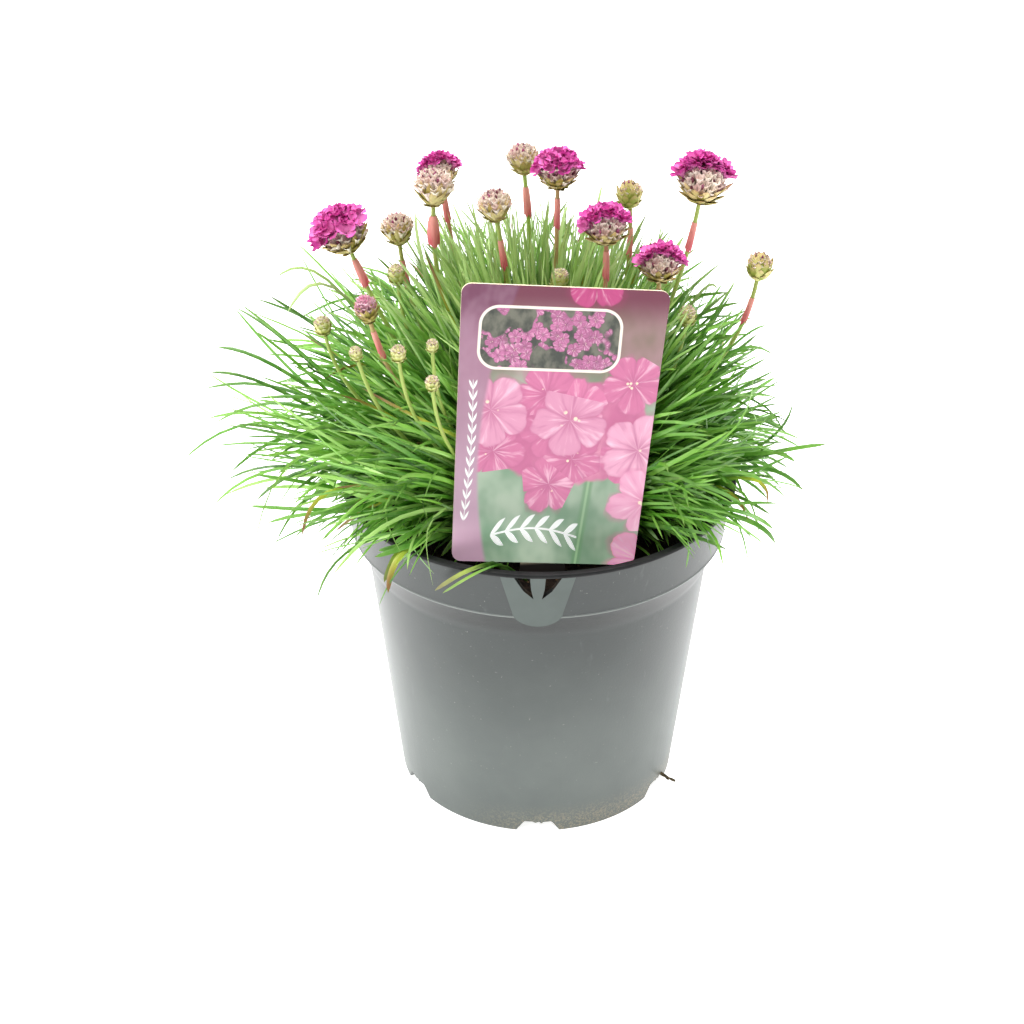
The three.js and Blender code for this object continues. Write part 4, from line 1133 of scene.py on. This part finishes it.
def floret_shape():
    """Five broad petals that flare from a narrow throat like a small cup."""
    rows = []
    for share, reach, half, dip, lift in (
        (0.0, 0.25, 0.3, 0.0, -2.2),
        (0.35, 1.2, 1.15, 0.16, -0.5),
        (0.65, 2.2, 1.75, 0.32, 0.45),
        (0.88, 2.95, 1.6, 0.34, 0.85),
        (1.0, 3.3, 0.85, 0.3, 1.0),
    ):
        notch = 0.1 if share == 1.0 else 0.0
        edge, rise = reach * 0.95, lift + dip
        rows.append((share, [(edge, -half, rise), (reach - notch, 0.0, lift - dip), (edge, half, rise)]))
    petals = []
    for angle, lean in zip(even_angles(5), (-16, 10, -8, 14, -2)):
        petal = grid_shape("petal", rows)
        turn = Matrix.Rotation(angle, 4, "Z")
        petal.data.transform(turn @ Matrix.Rotation(math.radians(lean), 4, "Y"))
        petals.append(petal)
    return joined_shapes(petals, "floret shape")


def calyx_shape():
    """A narrow pleated funnel with five pointed teeth; its mouth is at the origin."""
    sides = 10
    vertices, along, ribs = [], [], []
    for share, radius, z in ((0.0, 0.3, -6.0), (0.4, 0.6, -3.6), (0.75, 0.95, -1.4), (1.0, 1.45, 0.0)):
        for i, angle in enumerate(even_angles(sides)):
            tooth = i % 2 == 0
            reach = radius * (1.0 if tooth else 0.8)
            height = z + (0.8 if tooth and share == 1.0 else 0.0)
            vertices.append(around(reach, angle, height))
            along.append(share)
            ribs.append(float(tooth))
    return new_object("calyx shape", vertices, tube_faces(4, sides), along=along, rib=ribs)


def bract_shape():
    """A pointed, hollowed scale that rises from its seat along Z and closes in a little at its tip."""
    rows = []
    for share, half, out in (
        (0.0, 0.7, 0.0), (0.25, 1.25, 0.12), (0.5, 1.45, 0.16), (0.78, 0.95, 0.0), (1.0, 0.08, -0.3)
    ):
        edge, height = out - 0.4 * half, share * 4.0
        rows.append((share, [(edge, -half, height), (out, 0.0, height), (edge, half, height)]))
    return grid_shape("bract shape", rows)


def dark_bud_shape():
    """The closed, shrivelled petals in a calyx."""
    sides = 5
    vertices, along = [], []
    for share, radius, z in ((0.0, 0.45, -1.4), (0.5, 0.7, 0.1), (1.0, 0.12, 1.3)):
        for angle in even_angles(sides):
            vertices.append(around(radius, angle + share, z))
            along.append(share)
    faces = tube_faces(3, sides) + [tuple(range(2 * sides, 3 * sides))]
    return new_object("dark petals shape", vertices, faces, along=along)


class HeadPoints:
    """Points in a head's own frame, with Z along the stem and the stem's end at height STEM_SOCKET."""

    def __init__(self, seed, kind=None, domes=2):
        self.draws = Draws(seed)
        self.rows = []
        for ring in RINGS.get(kind, ()):
            self.ring(*ring)
        for dome in DOMES.get(kind, ())[:domes]:
            self.dome(*dome)

    def add(self, seat, direction, spin, stretch, kind):
        z = Vector(direction).normalized()
        turn = z.to_track_quat("Z", "Y").to_matrix() @ Matrix.Rotation(spin, 3, "Z")
        self.rows.append((seat, turn, stretch, kind, self.draws.next()))

    def dome(self, count, low, high, centre, reach, kind, size, source, lean=0.0, front=1.0):
        """Spreads shapes over a dome between two angles from the stem's line, in degrees.

        The dome leans towards -X by an angle, and front below 1 draws its front side in."""
        top, bottom = math.cos(math.radians(low)), math.cos(math.radians(high))
        start = self.draws.between(0, 6.28)
        tip = Matrix.Rotation(-math.radians(lean), 3, "Y")
        for i in range(count):
            cosine = top + (bottom - top) * (i + 0.5) / count
            sine = math.sqrt(max(0.0, 1 - cosine * cosine))
            angle = start + i * GOLDEN_ANGLE + self.draws.about(0.35)
            direction = np.array(around(sine, angle, cosine + self.draws.about(0.08)))
            if direction[1] < 0:
                direction[1] *= front
            direction = unit(np.array(tip @ Vector(unit(direction))))
            seat = np.array((0, 0, centre)) + direction * (reach * self.draws.between(0.93, 1.06))
            scale = size * self.draws.between(0.85, 1.15)
            self.add(seat, seat - np.array((0, 0, source)), self.draws.between(0, 6.28), (scale,) * 3, kind)

    def ring(self, count, radius, height, lean, wide, tall):
        """Sets shapes upright in a ring round the stem, leaning out by an angle in degrees."""
        start = self.draws.between(0, 6.28)
        for even in even_angles(count):
            angle = start + even + self.draws.about(0.12)
            out = np.array(around(1.0, angle))
            side = np.array((-math.sin(angle), math.cos(angle), 0.0))
            slope = math.radians(lean) * self.draws.between(0.85, 1.1)
            up = out * math.sin(slope) + np.array((0, 0, math.cos(slope)))
            front = np.cross(side, up)
            turn = Matrix((tuple(front), tuple(side), tuple(up))).transposed()
            stretch = (wide, wide, tall * self.draws.between(0.9, 1.1))
            seat = out * radius + np.array((0, 0, height))
            self.rows.append((seat, turn, stretch, 0, self.draws.next()))

    def placed(self, name, at, tilt, size, slender=1.0):
        """The points as an object, in that head's place. Below 1, slender draws them to the stem's line."""
        up, top = stem_top(at, tilt, size)
        x, y, z = head_frame(up)
        basis = Matrix((tuple(x), tuple(y), tuple(z))).transposed()
        base, tall = top - up * STEM_SOCKET, slender ** -0.4
        seats, turns, stretches, kinds, tones = zip(*self.rows)
        return new_object(
            name,
            [base + ((x * s[0] + y * s[1]) * slender + z * s[2] * tall) * size for s in seats],
            turn=[tuple((basis @ turn).to_euler()) for turn in turns],
            stretch=np.array(stretches) * size,
            kind=kinds,
            tone=tones,
        )


def make_heads():
    stems, heads = stem_tree(), head_tree()
    shapes = [bract_shape(), calyx_shape(), dark_bud_shape(), floret_shape()]
    for shape in shapes:
        shape.data.shade_smooth()
    stem_skin, sheath_material, petal = stem_tissue(), sheath_skin(), petal_skin()
    paper, dark = calyx_paper(), spent_petal()
    dry, green = (bract_skin(), paper, dark), (bud_skin(), paper, dark)
    pale = (bud_skin("pale_bud_scale", (222, 222, 176)), paper, dark)
    young = (dry[0], calyx_paper("blushed_calyx", (244, 214, 222), (232, 178, 196)),
             spent_petal("opening_petals", (206, 128, 162), (226, 158, 188)))

    def grow(points, name, head, skins, slender=1.0, kinds=shapes[:3]):
        """Sets bracts, calyces and spent petals, or other kinds of shapes, on the points."""
        values = {}
        for number, (shape, skin) in enumerate(zip(kinds, skins)):
            values |= {f"Shape_{number}": shape, f"Material_{number}": skin}
        return heads.apply(points.placed(name, *head, slender), **values)

    ways = {"bloom": ("flower_cup", "cup", "bract", dry), "papery": ("papery_head", "head", "papery", dry),
            "bud": ("green_bud", "bud", "bud", green)}
    for number, (name, kind, *head, (start, blush, lean, flare, front)) in enumerate(HEADS):
        stem = make_stem(f"flower_stem_{name}", *head, stems, stem_skin, blush)
        settled(stem, [f"stem_{name}"])
        seed = SHEATH_SEED + number
        sheath = make_sheath(f"flower_sheath_{name}", *head, sheath_material, seed, start, flare)
        settled(sheath, [f"sheath_{name}"])
        piece, node, slot, skins = ways[kind]
        slender = 1.0
        if name == YOUNG_HEAD:
            skins, slender = young, YOUNG_SLENDER
        points = HeadPoints(HEAD_SEED + number, kind)
        settled(grow(points, f"{piece}_{name}", head, skins, slender), [f"{node}_{name}"])
        if kind == "bloom":
            points = HeadPoints(PETAL_SEED + number)
            for dome, further in zip(PETAL_DOMES, (0.0, 0.1)):
                points.dome(*dome, lean, front + further)
            crown = grow(points, f"flower_petals_{name}", head, [petal] * 3, kinds=[shapes[3]] * 3)
            settled(crown, [f"petals_{name}"])

    for number, (name, *head) in enumerate(BUDS):
        stem = make_stem(f"bud_stem_{name}", *head, stems, stem_skin, BUD_BLUSH, BUD_SLENDER)
        points = HeadPoints(BUD_SEED + number, "bud", 1)
        scales = grow(points, "bud scales", head, pale, BUD_SLENDER)
        settled(joined_shapes([stem, scales], f"small_green_bud_{name}"), [f"small_bud_{name}"])

    for shape in shapes:
        bpy.data.objects.remove(shape)


# Leaves
def reach_at(azimuth):
    c, s = math.cos(azimuth), math.sin(azimuth)
    side = REACH_RIGHT if c > 0 else REACH_LEFT
    depth = REACH_BACK if s > 0 else REACH_FRONT
    return side * c * c + depth * s * s


def crown_height(radius):
    share = min(radius / CROWN_RADIUS, 1)
    return SOIL_INNER_Z + (CROWN_TOP_Z - SOIL_INNER_Z) * math.sqrt(1 - share * share)


def outline_share(point):
    """How far out a point lies, as a share of the tussock's outline in that direction."""
    x, y, z = point
    flat = math.hypot(x, y) / reach_at(math.atan2(y, x))
    height = (z - DOME_BASE_Z) / (DOME_HEIGHT if z > DOME_BASE_Z else DOME_SAG)
    return math.hypot(flat, height)


def leaf_line(index, attempt):
    """One leaf by rule: it grows from a rosette of the crown and arches out to the tussock's outline."""
    draws = Draws(LEAF_SEED + index * 101 + attempt * 7)
    rosette = index % ROSETTE_COUNT
    share = ((rosette + 0.5) / ROSETTE_COUNT) ** 0.6
    outward = rosette * GOLDEN_ANGLE
    radius = (CROWN_RADIUS - 1) * share
    root_angle = outward + draws.about(0.25)
    root_radius = radius * draws.between(0.85, 1.0)
    root = np.array(around(root_radius, root_angle, crown_height(root_radius) - 3))
    azimuth = outward + draws.about(0.8) + draws.about(2.6 - 1.4 * share)
    rise = math.radians(86 - 54 * share ** 2 + draws.about(16))
    curl = draws.next()
    wild = draws.next() < WILD_SHARE
    droop = math.radians(10 + 90 * curl ** 1.6) * math.cos(rise) + math.radians((48 if wild else 24) * curl)
    bend = draws.about(2.8 if wild else 1.2)
    sway = draws.about(1.4 if wild else 0.7)
    length = draws.between(0.75, 1.25) * LEAF_LENGTH
    # One in a few leaves strays past the outline, and one in LOW_EVERY of the outer ones hangs low
    seldom = STRAY_LEFT if math.cos(azimuth) < -0.4 else STRAY_ELSEWHERE
    stray = index % seldom == 0 and rise < math.radians(52)
    if index % LOW_EVERY == 0 and share > 0.6:
        rise = math.radians(draws.between(20, 50))
        droop = math.radians(draws.between(50, 100))
        length *= draws.between(0.4, 0.7)
    steps = np.linspace(0, 1, LEAF_STEPS)
    angles = rise - droop * steps ** 1.3
    headings = azimuth + bend * steps ** 1.5 + sway * np.sin(math.pi * 1.6 * steps)
    flat = np.cos(angles)
    directions = np.stack([flat * np.cos(headings), flat * np.sin(headings), np.sin(angles)], axis=1)
    middles = (directions[1:] + directions[:-1]) / 2
    line = np.vstack([root, root + np.cumsum(middles, axis=0) * length / (LEAF_STEPS - 1)])
    # The leaf shrinks towards its root until it lies within its own share of the outline
    target = draws.next()
    limit = 1.07 - 0.38 * target ** 1.5
    if stray:
        limit = draws.between(1.0, 1.33 if math.cos(azimuth) < 0 else 1.18)
    for _ in range(12):
        back = limit * line[:, 1].max() / REACH_BACK_MOST
        far = max(back, *(outline_share(point) for point in line[4:]))
        if far <= limit:
            break
        line = root + (line - root) * min(0.97, limit / far)
    return line, draws


def clear_of_pot(points):
    """Whether a leaf stays out of the wall and doesn't hang over the rim in front."""
    radius = np.hypot(points[:, 0], points[:, 1])
    z = points[:, 2]
    if ((radius > RIM_RADIUS) & (z < POT_HEIGHT - 2) & (points[:, 1] < FRONT_Y)).any():
        return False
    inner = np.array([inside_radius(v) for v in z])
    free = (z > POT_HEIGHT + LIP_CLEARANCE) | (radius > RIM_RADIUS + WALL_CLEARANCE)
    return bool((free | ((radius < inner - WALL_CLEARANCE) & (z > SOIL_INNER_Z))).all())


def clear_of_label(points, inverse):
    """Whether a leaf stays behind the label or beside it, and doesn't pass through it."""
    local = np.array([inverse @ Vector(p) for p in points])
    half, top, foot = LABEL_WIDTH / 2 + SIDE_CLEARANCE, LABEL_HEIGHT + SIDE_CLEARANCE, -4
    near = (np.abs(local[:, 0]) < half) & (local[:, 2] > foot) & (local[:, 2] < top)
    in_front = (local[:, 1] < 0) & (local[:, 2] > 2)
    if (near & (in_front | (np.abs(local[:, 1]) < CARD_CLEARANCE))).any():
        return False
    for before, here in zip(local, local[1:]):
        if before[1] * here[1] < 0:
            crossing = before + (here - before) * (before[1] / (before[1] - here[1]))
            if abs(crossing[0]) < half and foot < crossing[2] < top:
                return False
    return True


def passing(points, steps):
    """A smooth line through the points."""
    ends = np.array([points[0], *points, points[-1]], float)
    line = []
    for t in np.linspace(0, len(points) - 1, steps):
        first = min(int(t), len(points) - 2)
        a, b, c, d = ends[first:first + 4]
        u = t - first
        line.append(0.5 * (2 * b + (c - a) * u + (2 * a - 5 * b + 4 * c - d) * u ** 2
                           + (3 * b - a - 3 * c + d) * u ** 3))
    return np.array(line)


def long_leaf(*places):
    """A leaf's line from the crown to a tip, by way of a point halfway."""
    tip, halfway = np.array(places[:3], float), np.array(places[3:], float)
    azimuth = math.atan2(halfway[1], halfway[0])
    flat = math.hypot(halfway[0], halfway[1])
    root_radius = min(CROWN_RADIUS - 4, flat * 0.45)
    root = np.array(around(root_radius, azimuth, crown_height(root_radius) - 3))
    share = 0.62
    middle = (halfway - (1 - share) ** 2 * root - share ** 2 * tip) / (2 * share * (1 - share))
    return quadratic(root, middle, tip, LEAF_STEPS)


def make_leaves():
    inverse = label_matrix().inverted()
    everything = [(row[2], row[4]) for row in HEADS] + [(row[1], row[3]) for row in BUDS]
    middles = np.array([at for at, _ in everything], float)
    radii = np.array([HEAD_CLEARANCE * size + 1.0 for _, size in everything])
    # The steps get closer towards the tip, where the blade narrows to a point
    even = np.linspace(0, 1, LEAF_STEPS)
    share = 1 - (1 - even) ** 1.25
    taper = 0.78 + 0.22 * np.sin(math.pi * share ** 0.8)
    taper[-2] *= 0.75
    taper[-1] = 0.08
    kept = []

    def keep(line, draws, age, broad=1.0, face=0.0, shade=1.0):
        """Keeps a leaf's line, closer stepped towards its tip, with its values at each step."""
        line = along_line(line, even, share)
        kept.append((line, dict(
            # depth: how deep inside the tussock a point lies, for the painted shade
            depth=[max(0.0, 1 - outline_share(point)) for point in line],
            width=taper * draws.between(0.75, 1.45) * broad,
            tone=np.full(LEAF_STEPS, draws.next() * shade),
            along=share,
            age=np.full(LEAF_STEPS, age),
            twist=face + (draws.about(0.9) + share * draws.about(1.6)) * (0.5 if face else 1.0),
        )))

    for index in range(LEAF_COUNT):
        for attempt in range(LEAF_TRIES):
            line, draws = leaf_line(index, attempt)
            away = np.linalg.norm(line[:, None, :] - middles[None, :, :], axis=2)
            if clear_of_pot(line[3:]) and clear_of_label(line, inverse) and (away > radii[None, :]).all():
                # Leaves whose tips lie on the right get a darker tone: painted shade.
                shade = RIGHT_PAINTED_SHADE if line[-1, 0] > SHADED_X else 1.0
                keep(line, draws, 1.0 if draws.next() > 1 - OLD_SHARE else 0.0, shade=shade)
                break
    draws = Draws(LONG_LEAF_SEED)
    for number, row in enumerate(LONG_LEAVES):
        age = 1.0 if number in OLD_LEAVES else 0.0
        turn = -math.copysign(LONG_TURN, row[0])
        keep(long_leaf(*row), draws, age, BROAD_LEAVES.get(number, 1.0), turn, LONG_TONE)
    for points, broad, age in RIM_LEAVES:
        keep(passing(points, LEAF_STEPS), draws, age, broad, shade=RIM_TONE)
    blades, tissue = blade_tree(), leaf_tissue()
    for side in ("left", "right"):
        chosen = [leaf for leaf in kept if (leaf[0][-1, 0] < 0) == (side == "left")]
        fields = {key: [values[key] for _, values in chosen] for key in chosen[0][1]}
        leaves = polylines(f"tussock_leaves_{side}", [line for line, _ in chosen], **fields)
        leaves = blades.apply(leaves, Material=tissue)
        smooth(leaves, 80)
        settled(leaves, ["foliage"])


# Studio
def make_studio():
    floor = new_object("studio_floor", [(-3, -3, 0), (3, -3, 0), (3, 3, 0), (-3, 3, 0)], [(0, 1, 2, 3)])
    s = Shader("pale_floor", 0.9, 0.1, Emission_Strength=0.8)
    s.surface.inputs["Emission Color"].default_value = (1.0, 1.0, 1.0, 1.0)
    s.colour((0.92, 0.92, 0.92, 1.0))
    floor.data.materials.append(s.material)
    world = bpy.data.worlds.new("studio")
    bpy.context.scene.world = world
    world.use_nodes = True
    n = Nodes(world.node_tree)
    background = world.node_tree.nodes["Background"]
    across, depth, _ = n.parts(n.add("ShaderNodeTexCoord")["Generated"])
    wall = n.scaled(n.ramp(depth, -0.75, 0.25), WALL_LIGHT - ROOM_LIGHT, ROOM_LIGHT)
    dimmer = n.scaled(n.ramp(across, -0.4, 0.9), -RIGHT_DIMMER, 1.0)
    n.put(background.inputs["Strength"], n.times(wall, dimmer))
    background.inputs["Color"].default_value = (1.0, 1.0, 1.0, 1.0)
    for name, place, size, power in (
        ("key", (-0.45, -0.75, 1.15), 0.5, 6.0),
        ("fill", (-0.9, -0.5, 0.5), 0.9, 3.0),
        ("top", (0.0, 0.25, 1.4), 0.8, 20.0),
    ):
        light = bpy.data.lights.new(name, "AREA")
        light.size = size
        light.energy = power
        lamp = bpy.data.objects.new(name, light)
        bpy.context.scene.collection.objects.link(lamp)
        lamp.location = place
        lamp.rotation_euler = (Vector((0, 0, 0.12)) - Vector(place)).to_track_quat("-Z", "Y").to_euler()


def make_camera():
    bpy.context.scene.view_settings.view_transform = "Standard"
    data = bpy.data.cameras.new("camera")
    data.sensor_width = SENSOR
    data.lens = VIEW_FOCAL_PIXELS / IMAGE_PIXELS * SENSOR
    data.clip_start = 0.05
    camera = bpy.data.objects.new("camera", data)
    rise = math.radians(VIEW_ELEVATION)
    target = Vector(VIEW_TARGET)
    place = target + Vector((0, -math.cos(rise), math.sin(rise))) * VIEW_DISTANCE
    camera.location = place * MM
    camera.rotation_euler = Euler((math.pi / 2 - rise, 0, 0))
    bpy.context.scene.collection.objects.link(camera)
    bpy.context.scene.camera = camera


make_camera()
make_studio()
make_pot()
make_soil()
make_label()
make_heads()
make_leaves()

bpy.context.view_layer.update()
